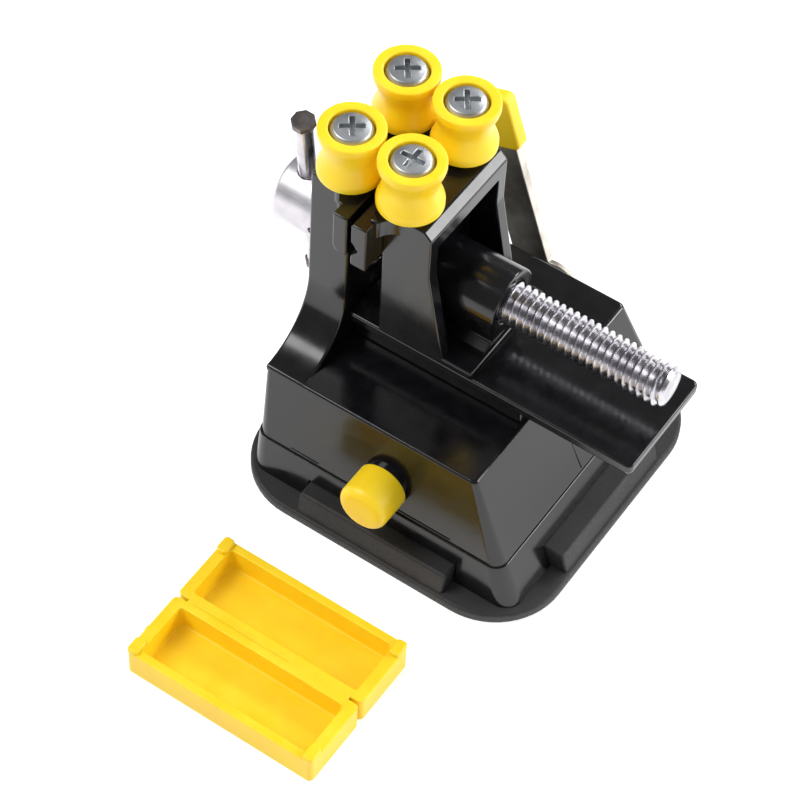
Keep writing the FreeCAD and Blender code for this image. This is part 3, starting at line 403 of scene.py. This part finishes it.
def carve(piece, cutters):
    """Take the cutters out of the piece for good, and clear them away."""
    for cutter in cutters:
        step = piece.modifiers.new("carve", "BOOLEAN")
        step.operation = "DIFFERENCE"
        step.solver = "EXACT"
        step.object = cutter
        bpy.context.view_layer.update()
        whole = bpy.context.evaluated_depsgraph_get()
        mesh = bpy.data.meshes.new_from_object(piece.evaluated_get(whole))
        piece.modifiers.clear()
        piece.data = mesh
        bpy.data.objects.remove(cutter)
    form = bmesh.new()
    form.from_mesh(piece.data)
    bmesh.ops.remove_doubles(form, verts=form.verts[:], dist=0.001 * MM)
    bmesh.ops.dissolve_limit(form, angle_limit=math.radians(0.3), verts=form.verts[:],
                             edges=form.edges[:])
    form.to_mesh(piece.data)
    form.free()
    return piece


def link_mesh(name, form, outward=True):
    """Object from a bmesh, linked to the scene; outward turns its faces to the outside."""
    if outward:
        bmesh.ops.recalc_face_normals(form, faces=form.faces[:])
    mesh = bpy.data.meshes.new(name)
    form.to_mesh(mesh)
    form.free()
    piece = bpy.data.objects.new(name, mesh)
    bpy.context.scene.collection.objects.link(piece)
    return piece


def eased(node, name, edge, finish, steps=3, turn=28):
    """A piece cut from the node's own form with every hard edge rounded to a real radius."""
    source = frame["nodes"][node]
    form = bmesh.new()
    form.from_mesh(source.data)
    bmesh.ops.remove_doubles(form, verts=form.verts[:], dist=0.002 * MM)
    bmesh.ops.dissolve_limit(form, angle_limit=math.radians(0.6), verts=form.verts[:],
                             edges=form.edges[:])
    piece = ease(link_mesh(name, form, False), edge, steps, turn, False)
    return settle(piece, source["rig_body"], finish, [node])


def rounded_line(points, radius, steps=4):
    """Round the inner corners of an open line of (radius, height) points."""
    made = [points[0]]
    for before, here, after in zip(points, points[1:], points[2:]):
        a, b, c = Vector(before), Vector(here), Vector(after)
        into, out = (a - b), (c - b)
        reach = min(radius, into.length * 0.45, out.length * 0.45)
        if reach < 1e-4 or into.length < 1e-6 or out.length < 1e-6:
            made.append(here)
            continue
        start, end = b + into.normalized() * reach, b + out.normalized() * reach
        for step in range(steps + 1):
            t = step / steps
            made.append(tuple(start * (1 - t) ** 2 + b * 2 * t * (1 - t) + end * t ** 2))
    made.append(points[-1])
    return made


def spun(name, line, place, turn=None, steps=96):
    """Turned form: the line of (radius, height) points goes round local Z, then is placed."""
    form = bmesh.new()
    rings = []
    for radius, height in line:
        if radius < 1e-6:
            rings.append([form.verts.new((0, 0, height * MM))])
            continue
        ring = []
        for step in range(steps):
            angle = math.tau * step / steps
            ring.append(form.verts.new((radius * MM * math.cos(angle), radius * MM * math.sin(angle),
                                        height * MM)))
        rings.append(ring)
    for low, high in zip(rings, rings[1:]):
        for step in range(steps):
            after = (step + 1) % steps
            if len(low) == 1 and len(high) == 1:
                continue
            if len(low) == 1:
                form.faces.new((low[0], high[step], high[after]))
            elif len(high) == 1:
                form.faces.new((low[step], low[after], high[0]))
            else:
                form.faces.new((low[step], low[after], high[after], high[step]))
    matrix = Matrix.Translation(Vector(place) * MM) @ (turn or Matrix.Identity(4))
    bmesh.ops.transform(form, matrix=matrix, verts=form.verts[:])
    return link_mesh(name, form)


def middle(node):
    """Centre of a node's box, in millimetres."""
    low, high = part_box(node)
    return (low + high) / 2 / MM


def span(node, axis):
    """Low and high side of a node's box along one axis, in millimetres."""
    low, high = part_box(node)
    return low[axis] / MM, high[axis] / MM


def screw_line():
    """Height of the lead screw's axis, in millimetres."""
    return middle("thrust_washer")[2]


# ---------------------------------------------------------------- properties
class ViseSizes(bpy.types.PropertyGroup):
    """Sizes that set the look of the edges and the thread"""

    moulding_edge: bpy.props.FloatProperty(
        name="Moulding edge", description="Rounding of the black mouldings, in millimetres",
        default=0.45, min=0.0, max=1.5)
    rubber_edge: bpy.props.FloatProperty(
        name="Rubber edge", description="Rounding of the pad edges, in millimetres",
        default=0.55, min=0.0, max=1.0)
    cover_edge: bpy.props.FloatProperty(
        name="Cover edge", description="Rounding of the soft cover edges, in millimetres",
        default=0.22, min=0.0, max=0.6)
    thread_pitch: bpy.props.FloatProperty(
        name="Thread pitch", description="Distance between turns of the lead screw, in millimetres",
        default=1.41, min=0.5, max=3.0)
    thread_depth: bpy.props.FloatProperty(
        name="Thread depth", description="Depth of the thread, in millimetres",
        default=0.78, min=0.2, max=1.5)
    roller_waist: bpy.props.FloatProperty(
        name="Roller waist", description="How far the roller draws in at its middle, in millimetres",
        default=1.0, min=0.0, max=2.5)
    bar_lean: bpy.props.FloatProperty(
        name="Bar lean", description="Lean of the sliding bar at rest",
        default=math.radians(7), subtype="ANGLE")


class ViseColours(bpy.types.PropertyGroup):
    """Pigment and plating colours, as sRGB hex"""

    moulding: bpy.props.StringProperty(
        name="Moulding", description="Black of the glossy mouldings", default="#0C0C0E")
    nylon: bpy.props.StringProperty(
        name="Nylon", description="Yellow of rollers, grip, cap and covers", default="#FFD20C")
    rubber: bpy.props.StringProperty(
        name="Rubber", description="Black of the suction pad", default="#1C1B1C")


# ---------------------------------------------------------------- pieces
def corner_webs(name, face, way, top):
    """Webs that carry a wide jaw on its narrower upright, concave in top view."""
    root, far = face - way, face + WEB_LONG * way
    taper = WEB_LONG - WEB_FLAT
    side = [(root, WEB_HALF), (face + WEB_FLAT * way, WEB_HALF)]
    for step in range(1, 5):
        t = step / 5
        bow = 0.35 * math.sin(math.pi * t)
        side.append((face + (WEB_FLAT + taper * t - bow) * way, WEB_HALF - taper * t - bow))
    side.append((far, BLOCK_HALF - 0.1))
    outline = side + [(x, -y) for x, y in reversed(side)]
    return slab(name, "Z", outline, top - WEB_DEEP, top)


def roller_post(screw):
    """Low round seat under a roller, with a fillet at its foot."""
    centre = middle(screw)
    line = [(4.0, JAW_TOP - 0.6), (3.9, JAW_TOP), (3.5, JAW_TOP + 0.15), (3.4, POST_TOP),
            (ROLLER_BORE, POST_TOP)]
    return spun(screw + "_seat", line, (centre[0], centre[1], 0))


class VISE_OT_mouldings(bpy.types.Operator):
    """Base housing with its fixed jaw, in glossy black ABS"""

    bl_idname = "vise.mouldings"
    bl_label = "Base housing"

    def execute(self, context):
        edge = context.scene.vise_sizes.moulding_edge
        self.pieces = []
        self.shell(edge)
        self.fixed_jaw(edge)
        self.seats()
        for piece in self.pieces:
            settle(piece, "base", "glossy_abs", ["base_housing"])
        return {"FINISHED"}

    def shell(self, edge):
        """Skirt, ledge and sloping upper wall, with a round edge at the deck."""
        # each level of the wall is (left, right, half width, corner radius)
        foot = (-28.8, 28.0, 28.7, 3.6)
        rim = (-28.4, 24.3, 27.5, 2.8)
        waist = (-28.0, 23.9, 27.1, 2.4)
        roof = (-28.0, 16.0, 24.5, 1.1)

        def between(one, two, share):
            return [a + (b - a) * share for a, b in zip(one, two)]

        def ring(height, shape, inset=0.0):
            left, right, half, corner = shape
            return height, box_loop(left + inset, right - inset, inset - half, half - inset,
                                    max(0.3, corner - inset))

        rings = [ring(PAD_TOP, foot, 0.15), ring(PAD_TOP + 0.15, foot)]
        rings += [ring(BELT - 0.22, between(foot, rim, 0.97)), ring(BELT - 0.06, rim, 0.05),
                  ring(BELT, rim, 0.18), ring(BELT, waist, -0.06), ring(BELT + 0.12, waist)]
        rounding = edge * 1.2
        height = DECK - BELT
        for step in range(5):
            angle = math.pi / 2 * step / 4
            rise = height - rounding + rounding * math.sin(angle)
            rings.append(ring(BELT + rise, between(waist, roof, rise / height),
                              rounding * (1 - math.cos(angle))))
        shell = lofted("housing_shell", rings)
        # room for the four tabs of the pad, cut into the foot of the skirt
        gap, top, deep = 15.9, PAD_TOP + 4.3, 25.4
        cutters = [block_form("cut_front", (-gap, gap), (-30, -deep), (0, top)),
                   block_form("cut_rear", (-gap, gap), (deep, 30), (0, top)),
                   block_form("cut_left", (-30, -deep), (-gap, gap), (0, top)),
                   block_form("cut_right", (deep, 30), (-gap, gap), (0, top))]
        self.pieces.append(ease(carve(shell, cutters), 0))
        # witness line of the mould halves down the sloping end, and the two along the front
        line = [(23.7, BELT + 0.3), (24.0, BELT + 0.3), (16.1, DECK - 0.4), (15.8, DECK - 0.4)]
        self.pieces.append(slab("end_witness", "Y", line, -0.13, 0.13))
        for name, start, stop in (("left_witness", -20.6, -14.6), ("right_witness", 2.0, 13.5)):
            self.pieces.append(block_form(name, (start, stop), (-27.14, -26.9),
                                          (BELT + 0.55, BELT + 0.72)))

    def fixed_jaw(self, edge):
        """Upright that flares out over the deck, with a wide clamp block on corner webs."""
        wide, narrow, crown = 24.5, 12.0, 11.6
        flare = wide - narrow
        half = [(wide, DECK - 1.5), (wide, DECK)]
        for step in range(1, 12):
            angle = math.pi / 2 * step / 12
            half.append((wide - flare * math.sin(angle), DECK + flare * (1 - math.cos(angle))))
        half += [(narrow, DECK + flare), (crown, JAW_TOP)]
        outline = half + [(-y, z) for y, z in reversed(half)]
        upright = slab("jaw_upright", "X", outline, UPRIGHT, JAW_FACE)
        recess = spun("clip_recess", [(0, JAW_FACE - 1.5), (5.5, JAW_FACE - 1.5), (5.5, JAW_FACE + 1),
                                      (0, JAW_FACE + 1)],
                      (0, 0, screw_line()), ALONG_SCREW, 48)
        self.pieces.append(ease(carve(upright, [recess]), edge, 3, 40))
        low = JAW_TOP - CLAMP_DEEP
        clamp = corner_arcs([(CLAMP_BACK, low, 1.5), (CLAMP_FACE, low, 0.4),
                             (CLAMP_FACE, JAW_TOP - 0.02, 0.3), (CLAMP_BACK, JAW_TOP - 0.02, 0.3)])
        self.pieces.append(ease(slab("clamp_block", "Y", clamp, -JAW_HALF, JAW_HALF), 0.35, 3, 50))
        self.pieces.append(ease(corner_webs("clamp_webs", CLAMP_BACK, -1, JAW_TOP - 0.04), 0.3, 3, 30))
        for name in ("front", "rear"):
            self.pieces.append(roller_post("roller_screw_fixed_" + name))

    def seats(self):
        """Round seats of the lever shaft, front and back."""
        centre = middle("axle_cap")
        front = -span("axle_cap", 1)[1] - 0.1
        back = -span("lever_washer", 1)[0] + 0.05
        for name, radius, near, far in (("front_seat", 4.2, 24.0, front), ("back_seat", 4.8, -24.0, back)):
            ends = [(SHAFT_HOLE, near), (radius, near), (radius, far), (SHAFT_HOLE, far),
                    (SHAFT_HOLE, near)]
            self.pieces.append(spun(name, rounded_line(ends, 0.35), (centre[0], 0, centre[2]),
                                    ALONG_SHAFT))


class VISE_OT_rail(bpy.types.Operator):
    """Guide rail on its narrower pedestal"""

    bl_idname = "vise.rail"
    bl_label = "Guide rail"

    def execute(self, context):
        edge = context.scene.vise_sizes.moulding_edge
        left, right = span("guide_rail", 0)
        plate = box_loop(left, right, -11.4, 11.4, 1.2)
        rail = slab("rail_plate", "Z", plate, RAIL_TOP - 2.2, RAIL_TOP)
        foot = block_form("rail_pedestal", (left, left + 35.1), (-9.2, 9.2), (DECK, RAIL_TOP - 1.1))
        for piece in (rail, foot):
            settle(ease(piece, edge, 3, 50), "base", "glossy_abs", ["guide_rail"])
        return {"FINISHED"}


class VISE_OT_jaw(bpy.types.Operator):
    """Moving jaw: grooved cheek, hollow block with side walls, foot, boss and rib"""

    bl_idname = "vise.jaw"
    bl_label = "Moving jaw"

    def execute(self, context):
        edge = context.scene.vise_sizes.moulding_edge
        pieces = [self.block(edge), self.cheek()]
        low = RAIL_TOP + 0.1
        half = BLOCK_HALF - 0.03
        foot = block_form("jaw_foot", (BLOCK + 0.2, BLOCK + 19.2), (-half, half), (low, low + 1.4))
        pieces.append(ease(foot, 0.3, 3, 40))
        pieces.append(ease(corner_webs("jaw_webs", BLOCK, 1, CHEEK_TOP + 0.46), 0.3, 3, 30))
        axis, bore, wall = screw_line(), 4.13, 6.3
        start, stop = BLOCK + 3.6, BLOCK + 19.5
        boss = rounded_line([(bore, start), (wall, start), (wall, stop), (bore, stop), (bore, start)], 0.35)
        pieces.append(spun("screw_boss", boss, (0, 0, axis), ALONG_SCREW))
        rib = [(-7.0, low + 0.7), (7.0, low + 0.7), (4.3, low + 2.7), (4.3, axis - 3.0),
               (-4.3, axis - 3.0), (-4.3, low + 2.7)]
        pieces.append(ease(slab("boss_rib", "X", rib, BLOCK + 3.6, BLOCK + 18.7), 0.35, 3, 25))
        for name in ("front", "rear"):
            pieces.append(roller_post("roller_screw_moving_" + name))
        for piece in pieces:
            settle(piece, "jaw", "glossy_abs", ["moving_jaw"])
        return {"FINISHED"}

    def block(self, edge):
        """Side view pushed across the jaw, then hollowed from the screw side."""
        low, end = RAIL_TOP + 0.1, BLOCK + 9.6
        side = corner_arcs([(BLOCK, low, 0.0), (BLOCK + 13.5, low, 0.0), (end, JAW_TOP - 11.0, 4.0),
                            (end, JAW_TOP - 1.6, 0.8), (end - 1.6, JAW_TOP, 0.8),
                            (BLOCK, JAW_TOP, 0.3)], 4)
        block = slab("jaw_block", "Y", side, -BLOCK_HALF, BLOCK_HALF)
        hollow = block_form("hollow", (BLOCK + 4.4, BLOCK + 20), (-9.1, 9.1), (low - 1, JAW_TOP - 5.0))
        bore = spun("nut_bore", [(0, BLOCK - 1), (4.95, BLOCK - 1), (4.95, BLOCK + 6), (0, BLOCK + 6)],
                    (0, 0, screw_line()), ALONG_SCREW, 48)
        return ease(carve(block, [hollow, bore]), edge, 3, 38)

    def cheek(self):
        """Wide cheek with a level groove for the edge of a board."""
        low = CHEEK_TOP - CHEEK_RISE
        groove = low + NOTCH_LEVEL
        back = BLOCK + 0.1
        side = corner_arcs([(CHEEK_FACE, low, 0.6), (back, low, 0.3), (back, CHEEK_TOP, 0.3),
                            (CHEEK_FACE, CHEEK_TOP, 0.5), (CHEEK_FACE, groove + NOTCH_HALF, 0.4),
                            (CHEEK_FACE + NOTCH_DEEP, groove, 0.25),
                            (CHEEK_FACE, groove - NOTCH_HALF, 0.4)], 4)
        return ease(slab("jaw_cheek", "Y", side, -JAW_HALF, JAW_HALF), 0.3, 3, 50)


class VISE_OT_pad(bpy.types.Operator):
    """Suction pad with its four locking tabs, in matte rubber"""

    bl_idname = "vise.pad"
    bl_label = "Suction pad"

    def execute(self, context):
        edge = context.scene.vise_sizes.rubber_edge
        half_x, half_y, corner = 32.0, 33.0, 14.0
        rings = [(0.0, 0.3), (0.12, 0.08), (0.35, 0.0)]
        for step in range(5):
            angle = math.pi / 2 * step / 4
            rings.append((PAD_TOP - edge + edge * math.sin(angle), edge * (1 - math.cos(angle))))
        sheet = lofted("pad_sheet", [
            (height, box_loop(inset - half_x, half_x - inset, inset - half_y, half_y - inset,
                              corner - inset, 14)) for height, inset in rings])
        pieces = [sheet]
        top, root, tab = PAD_TOP + 4.0, PAD_TOP / 2, 15.6
        for name, axis, inner, outer in (("front_tab", "X", -25.0, -32.6), ("rear_tab", "X", 25.0, 32.6),
                                         ("left_tab", "Y", -25.1, -31.6), ("right_tab", "Y", 24.3, 31.6)):
            lean = math.copysign(1.4, outer)
            side = [(inner, root), (outer, root), (outer - lean, top), (inner, top)]
            pieces.append(ease(slab(name, axis, side, -tab, tab), 0.45, 3, 25))
        boss = [(0, root), (8.0, root), (8.0, PAD_TOP + 1.9), (0, PAD_TOP + 1.9)]
        pieces.append(spun("pad_boss", rounded_line(boss, 0.4), (middle("axle_cap")[0], 0, 0)))
        for piece in pieces:
            settle(piece, "base", "black_rubber", ["suction_pad"])
        return {"FINISHED"}


def thread_radius(phase, crest, depth):
    """Sixty degree thread with a flat crest and root; phase runs 0 to 1 over a turn."""
    ride = abs(phase - 0.5) * 2
    flat = 0.14
    drop = max(0.0, 1 - (ride / (1 - flat))) if ride < 1 - flat else 0.0
    return crest - depth * min(1.0, drop * 1.12)


class VISE_OT_screw(bpy.types.Operator):
    """Lead screw with a true helical thread"""

    bl_idname = "vise.screw"
    bl_label = "Lead screw"

    def execute(self, context):
        sizes = context.scene.vise_sizes
        left, right = span("lead_screw", 0)
        axis = screw_line()
        start = span("guide_rail", 0)[0] + 0.6
        pitch, depth = sizes.thread_pitch, sizes.thread_depth
        # points of one turn's profile: crest, flank, root, flank, crest
        steps, profile = 72, (0.0, 0.07, 0.28, 0.46, 0.54, 0.72, 0.93)
        form = bmesh.new()
        turns = int((right - start) / pitch) + 2
        rows = []
        for row in range(turns * steps + 1):
            angle = math.tau * row / steps
            base = start - pitch + pitch * row / steps
            line = []
            for phase in profile + (1.0,):
                x = base + phase * pitch
                radius = thread_radius(phase, SCREW_CREST, depth)
                fade = min(1.0, max(0.0, (x - start) / (0.8 * pitch)))
                radius = SCREW_CREST - (SCREW_CREST - radius) * fade
                x = min(max(x, start), right)
                radius = min(radius, SCREW_CREST - max(0.0, x - (right - SCREW_BEVEL)) * 0.9)
                line.append(form.verts.new((x * MM, radius * MM * math.cos(angle),
                                            (axis + radius * math.sin(angle)) * MM)))
            rows.append(line)
        for low, high in zip(rows, rows[1:]):
            for a, b, c, d in zip(low, low[1:], high[1:], high):
                form.faces.new((a, b, c, d))
        bmesh.ops.remove_doubles(form, verts=form.verts[:], dist=0.004 * MM)
        thread = link_mesh("screw_thread", form)
        end_radius = SCREW_CREST - SCREW_BEVEL * 0.9
        shank = spun("screw_shank", [(0, left), (SCREW_CREST - 0.3, left), (SCREW_CREST, left + 0.3),
                                     (SCREW_CREST, start + 0.25), (SCREW_CREST - 0.3, start + 0.5)],
                     (0, 0, axis), ALONG_SCREW)
        face = spun("screw_end", rounded_line([(0, right - 0.12), (end_radius * 0.9, right - 0.1),
                                               (end_radius, right - 0.02), (end_radius + 0.02, right - 0.6)],
                                              0.15),
                    (0, 0, axis), ALONG_SCREW)
        for piece in (thread, shank, face):
            settle(piece, "screw", "zinc_thread", ["lead_screw"], 28)
        return {"FINISHED"}


class VISE_OT_hub(bpy.types.Operator):
    """Screw hub, sliding bar with its two pressed heads, pin, washer and clip"""

    bl_idname = "vise.hub"
    bl_label = "Hub and bar"

    def execute(self, context):
        axis = screw_line()
        tilt = Matrix.Rotation(context.scene.vise_sizes.bar_lean, 4, "X")
        eased("screw_hub", "hub_turning", 0.25, "satin_chrome", 3, 35)
        bar = middle("tommy_bar")
        line = rounded_line([(0, -BAR_HALF), (BAR_RADIUS, -BAR_HALF), (BAR_RADIUS, BAR_HALF),
                             (0, BAR_HALF)], 0.2)
        rod = spun("sliding_bar", line, (bar[0], 0, axis), tilt, 64)
        settle(rod, "bar", "bright_chrome", ["tommy_bar"])
        # eight-sided heads, a flat side to the front
        turn = tilt @ Matrix.Rotation(math.pi / 8, 4, "Z")
        for name, low, high in (("upper", HEAD_INNER, HEAD_OUTER), ("lower", -HEAD_OUTER, -HEAD_INNER)):
            line = rounded_line([(0, low), (HEAD_RADIUS, low), (HEAD_RADIUS, high), (1.2, high),
                                 (0, high - 0.12)], 0.22, 3)
            head = spun("bar_head_" + name, line, (bar[0], 0, axis), turn, 8)
            settle(head, "bar", "worn_steel", ["tommy_bar_heads"], 25)
        eased("hub_pin", "cross_pin", 0.08, "zinc_sheet")
        eased("thrust_washer", "thrust_ring", 0.12, "zinc_sheet")
        eased("retaining_clip", "snap_ring", 0.1, "zinc_sheet")
        return {"FINISHED"}


class VISE_OT_rollers(bpy.types.Operator):
    """Four grooved nylon rollers with their screws and washers"""

    bl_idname = "vise.rollers"
    bl_label = "Rollers"

    def execute(self, context):
        waist = context.scene.vise_sizes.roller_waist
        places = {"fixed_front": "roller_a", "fixed_rear": "roller_b",
                  "moving_front": "roller_c", "moving_rear": "roller_d"}
        for tag, body in places.items():
            centre = middle("roller_screw_" + tag)
            low = span("roller_" + tag, 2)[0]
            high = span("roller_" + tag, 2)[1] - low
            line = rounded_line([(ROLLER_BORE, 0), (ROLLER_RIM, 0), (ROLLER_RIM, ROLLER_LIP)], 0.3)
            # the groove between the two lips
            for step in range(1, 16):
                t = step / 16
                line.append((ROLLER_RIM - waist * math.sin(math.pi * t) ** 1.3,
                             ROLLER_LIP + (high - 2 * ROLLER_LIP) * t))
            line += rounded_line([(ROLLER_RIM, high - ROLLER_LIP), (ROLLER_RIM, high),
                                  (ROLLER_WELL, high), (ROLLER_WELL, high - ROLLER_SINK),
                                  (ROLLER_BORE, high - ROLLER_SINK)], 0.3)
            line.append((ROLLER_BORE, 0))
            roller = spun("roller_" + tag + "_form", line, (centre[0], centre[1], low), None, 112)
            settle(roller, body, "satin_nylon", ["roller_" + tag], 40)
            eased("roller_screw_" + tag, "screw_head_" + tag, 0.13, "screw_zinc")
        eased("fixed_roller_washers", "fixed_washers", 0.1, "screw_zinc")
        eased("moving_roller_washers", "moving_washers", 0.1, "screw_zinc")
        return {"FINISHED"}


class VISE_OT_lever(bpy.types.Operator):
    """Suction lever: shaft, channel arm, moulded grip, cap and inner working parts"""

    bl_idname = "vise.lever"
    bl_label = "Suction lever"

    def execute(self, context):
        eased("lever_arm", "channel_arm", 0.25, "zinc_sheet")
        eased("lever_grip", "grip_moulding", 0.0, "satin_nylon")
        eased("cam_axle", "lever_shaft", 0.25, "screw_zinc")
        eased("lever_washer", "lever_ring", 0.1, "zinc_sheet")
        eased("lift_cam", "cam_moulding", 0.2, "glossy_abs")
        eased("suction_plunger", "plunger_moulding", 0.3, "glossy_abs")
        cap = middle("axle_cap")
        near, far = -span("axle_cap", 1)[1], -span("axle_cap", 1)[0]
        side = [(SHAFT_HOLE - 0.05, near), (CAP_RADIUS, near), (CAP_RADIUS, far - CAP_BEND)]
        dome = [(CAP_RADIUS, far - CAP_BEND)]
        for step in range(1, 13):
            angle = math.pi / 2 * step / 12
            dome.append((CAP_RADIUS - CAP_BEND + CAP_BEND * math.cos(angle),
                         far - CAP_BEND + CAP_BEND * math.sin(angle)))
        dome += [(1.2, far), (0, far)]
        piece = spun("cap_moulding", rounded_line(side, 0.25)[:-1] + dome, (cap[0], 0, cap[2]),
                     ALONG_SHAFT)
        settle(piece, "lever", "satin_nylon", ["axle_cap"], 40)
        return {"FINISHED"}


class VISE_OT_covers(bpy.types.Operator):
    """Pair of soft jaw covers, moulded in one shot with a thin fold"""

    bl_idname = "vise.covers"
    bl_label = "Soft jaw covers"

    def execute(self, context):
        edge = context.scene.vise_sizes.cover_edge
        left, right = span("soft_jaw_cover_back", 0)
        low_back, high_back = span("soft_jaw_cover_back", 1)
        wide = 14.3
        far = low_back - 0.5
        self.tray("back_cover", (left, right), (low_back, high_back), edge, "soft_jaw_cover_back",
                  high_back, -1)
        self.tray("front_cover", (left, right), (far - wide, far), edge, "soft_jaw_cover_front",
                  far - wide, 1)
        # thin fold between the trays, with the flash line that runs along it
        fold = block_form("fold_strip", (left + 2.4, right - 2.4), (far - 1.0, low_back + 0.3),
                          (COVER_HIGH - 0.6, COVER_HIGH - 0.03))
        flash = block_form("fold_flash", (left + 4.0, left + 24.0), (low_back - 0.42, low_back - 0.3),
                           (COVER_HIGH - 0.2, COVER_HIGH + 0.06))
        sprue = spun("sprue_stub", rounded_line([(0, left - 1.1), (0.8, left - 1.1), (0.8, left + 0.5),
                                                 (0, left + 0.5)], 0.25, 3),
                     (0, far - wide / 2, COVER_HIGH / 2), ALONG_SCREW, 24)
        for piece in (ease(fold, 0.15, 2, 50), ease(flash, 0.0), sprue):
            settle(piece, "covers", "satin_nylon", ["soft_jaw_cover_front"])
        return {"FINISHED"}

    def tray(self, name, long_way, short_way, edge, node, outside, inward):
        """Open tray: rounded rim, pocket with round corners, and two raised ears."""
        left, right = long_way
        near, far = short_way
        wall_x, wall_y, corner = 2.25, 1.65, 1.0

        def outer(inset):
            return box_loop(left + inset, right - inset, near + inset, far - inset, corner)

        def inner(inset):
            return box_loop(left + wall_x + inset, right - wall_x - inset, near + wall_y + inset,
                            far - wall_y - inset, 0.8)

        high = COVER_HIGH
        rings = [(0.0, outer(edge)), (0.12, outer(edge * 0.3)), (edge, outer(0.0)),
                 (high - edge, outer(0.0)), (high - edge * 0.3, outer(edge * 0.3)), (high, outer(edge)),
                 (high, inner(-edge)), (high - edge * 0.3, inner(-edge * 0.3)), (high - edge, inner(0.0)),
                 (high - 3.9, inner(0.12)), (high - 4.35, inner(0.3)), (high - 4.5, inner(0.75))]
        body = ease(lofted(name, rings), 0.0)
        settle(body, "covers", "satin_nylon", [node])
        for tag, start, stop in (("left", left, left + 2.2), ("right", right - 2.2, right)):
            back = outside + inward * 3.4
            loop = box_loop(start + 0.02, stop - 0.02, min(outside, back) + 0.02,
                            max(outside, back) - 0.02, 0.7, 5)
            ear = slab("%s_ear_%s" % (name, tag), "Z", loop, high - 0.5, high + 0.8)
            settle(ease(ear, 0.3, 3, 50), "covers", "satin_nylon", [node])


class VISE_OT_hidden(bpy.types.Operator):
    """Nut and rail screws inside the mouldings"""

    bl_idname = "vise.hidden"
    bl_label = "Inner hardware"

    def execute(self, context):
        eased("jaw_nut", "nut_turning", 0.1, "turned_brass")
        eased("rail_screws", "rail_fasteners", 0.1, "screw_zinc")
        return {"FINISHED"}


def soft_box(name, place, aim, width, height, power):
    """White area lamp, in metres and watts, turned to its aim."""
    lamp = bpy.data.lights.new(name, "AREA")
    lamp.shape = "RECTANGLE"
    lamp.size = width
    lamp.size_y = height
    lamp.energy = power
    holder = bpy.data.objects.new(name, lamp)
    bpy.context.scene.collection.objects.link(holder)
    holder.location = place
    holder.rotation_euler = (Vector(aim) - Vector(place)).to_track_quat("-Z", "Y").to_euler()


class VISE_OT_stage(bpy.types.Operator):
    """Pale paper sweep, soft studio lamps, plain world and camera"""

    bl_idname = "vise.stage"
    bl_label = "Stage"

    def execute(self, context):
        scene = context.scene
        form = bmesh.new()
        bmesh.ops.create_grid(form, x_segments=8, y_segments=8, size=4.0)
        floor = link_mesh("paper_sweep", form)
        floor.data.materials.append(sweep_paper())
        soft_box("key_box", (-0.55, -0.35, 0.75), (0, 0, 0.03), 0.5, 0.5, 5.5)
        soft_box("right_box", (0.68, 0.42, 0.30), (0, 0, 0.05), 0.40, 0.30, 4.0)
        soft_box("back_box", (0.15, 0.8, 0.6), (0, 0, 0.04), 0.6, 0.3, 5.0)
        world = bpy.data.worlds.new("studio_air")
        scene.world = world
        world.use_nodes = True
        tree = world.node_tree
        tree.nodes.clear()
        # even light on the surfaces, darker walls in the reflections
        path = add_node(tree, "ShaderNodeLightPath")
        air = add_node(tree, "ShaderNodeBackground",
                       values={"Color": linear("#FFFFFF"), "Strength": 0.55})
        walls = add_node(tree, "ShaderNodeBackground",
                         values={"Color": linear("#FFFFFF"), "Strength": 0.22})
        pick = add_node(tree, "ShaderNodeMixShader", links={"Fac": path.outputs["Is Glossy Ray"]})
        tree.links.new(air.outputs[0], pick.inputs[1])
        tree.links.new(walls.outputs[0], pick.inputs[2])
        add_node(tree, "ShaderNodeOutputWorld", links={"Surface": pick.outputs[0]})
        lens = bpy.data.cameras.new("bench_camera")
        lens.lens = 135.02
        lens.sensor_width = 36.0
        lens.clip_start, lens.clip_end = 0.02, 30.0
        camera = bpy.data.objects.new("bench_camera", lens)
        scene.collection.objects.link(camera)
        camera.location = (0.161555, -0.287853, 0.441650)
        camera.rotation_euler = (0.652810, -0.036445, 0.597749)
        scene.camera = camera
        scene.view_settings.view_transform = "Standard"
        return {"FINISHED"}


class VISE_PT_panel(bpy.types.Panel):
    """Lists the pieces of the vise"""

    bl_idname = "VISE_PT_panel"
    bl_label = "Circuit board vise"
    bl_space_type = "VIEW_3D"
    bl_region_type = "UI"
    bl_category = "Vise"

    def draw(self, context):
        for group in (context.scene.vise_sizes, context.scene.vise_colours):
            for name in group.__annotations__:
                self.layout.prop(group, name)
        for step in STEPS:
            self.layout.operator(step.bl_idname)


STEPS = (VISE_OT_stage, VISE_OT_mouldings, VISE_OT_rail, VISE_OT_jaw, VISE_OT_pad, VISE_OT_screw, VISE_OT_hub,
         VISE_OT_rollers, VISE_OT_lever, VISE_OT_covers, VISE_OT_hidden)
CLASSES = (ViseSizes, ViseColours) + STEPS + (VISE_PT_panel,)


def register():
    for item in CLASSES:
        bpy.utils.register_class(item)
    bpy.types.Scene.vise_sizes = bpy.props.PointerProperty(type=ViseSizes)
    bpy.types.Scene.vise_colours = bpy.props.PointerProperty(type=ViseColours)


def unregister():
    del bpy.types.Scene.vise_colours
    del bpy.types.Scene.vise_sizes
    for item in reversed(CLASSES):
        bpy.utils.unregister_class(item)


def main():
    register()
    for step in STEPS:
        group, name = step.bl_idname.split(".")
        getattr(getattr(bpy.ops, group), name)()


if __name__ == "__main__":
    main()
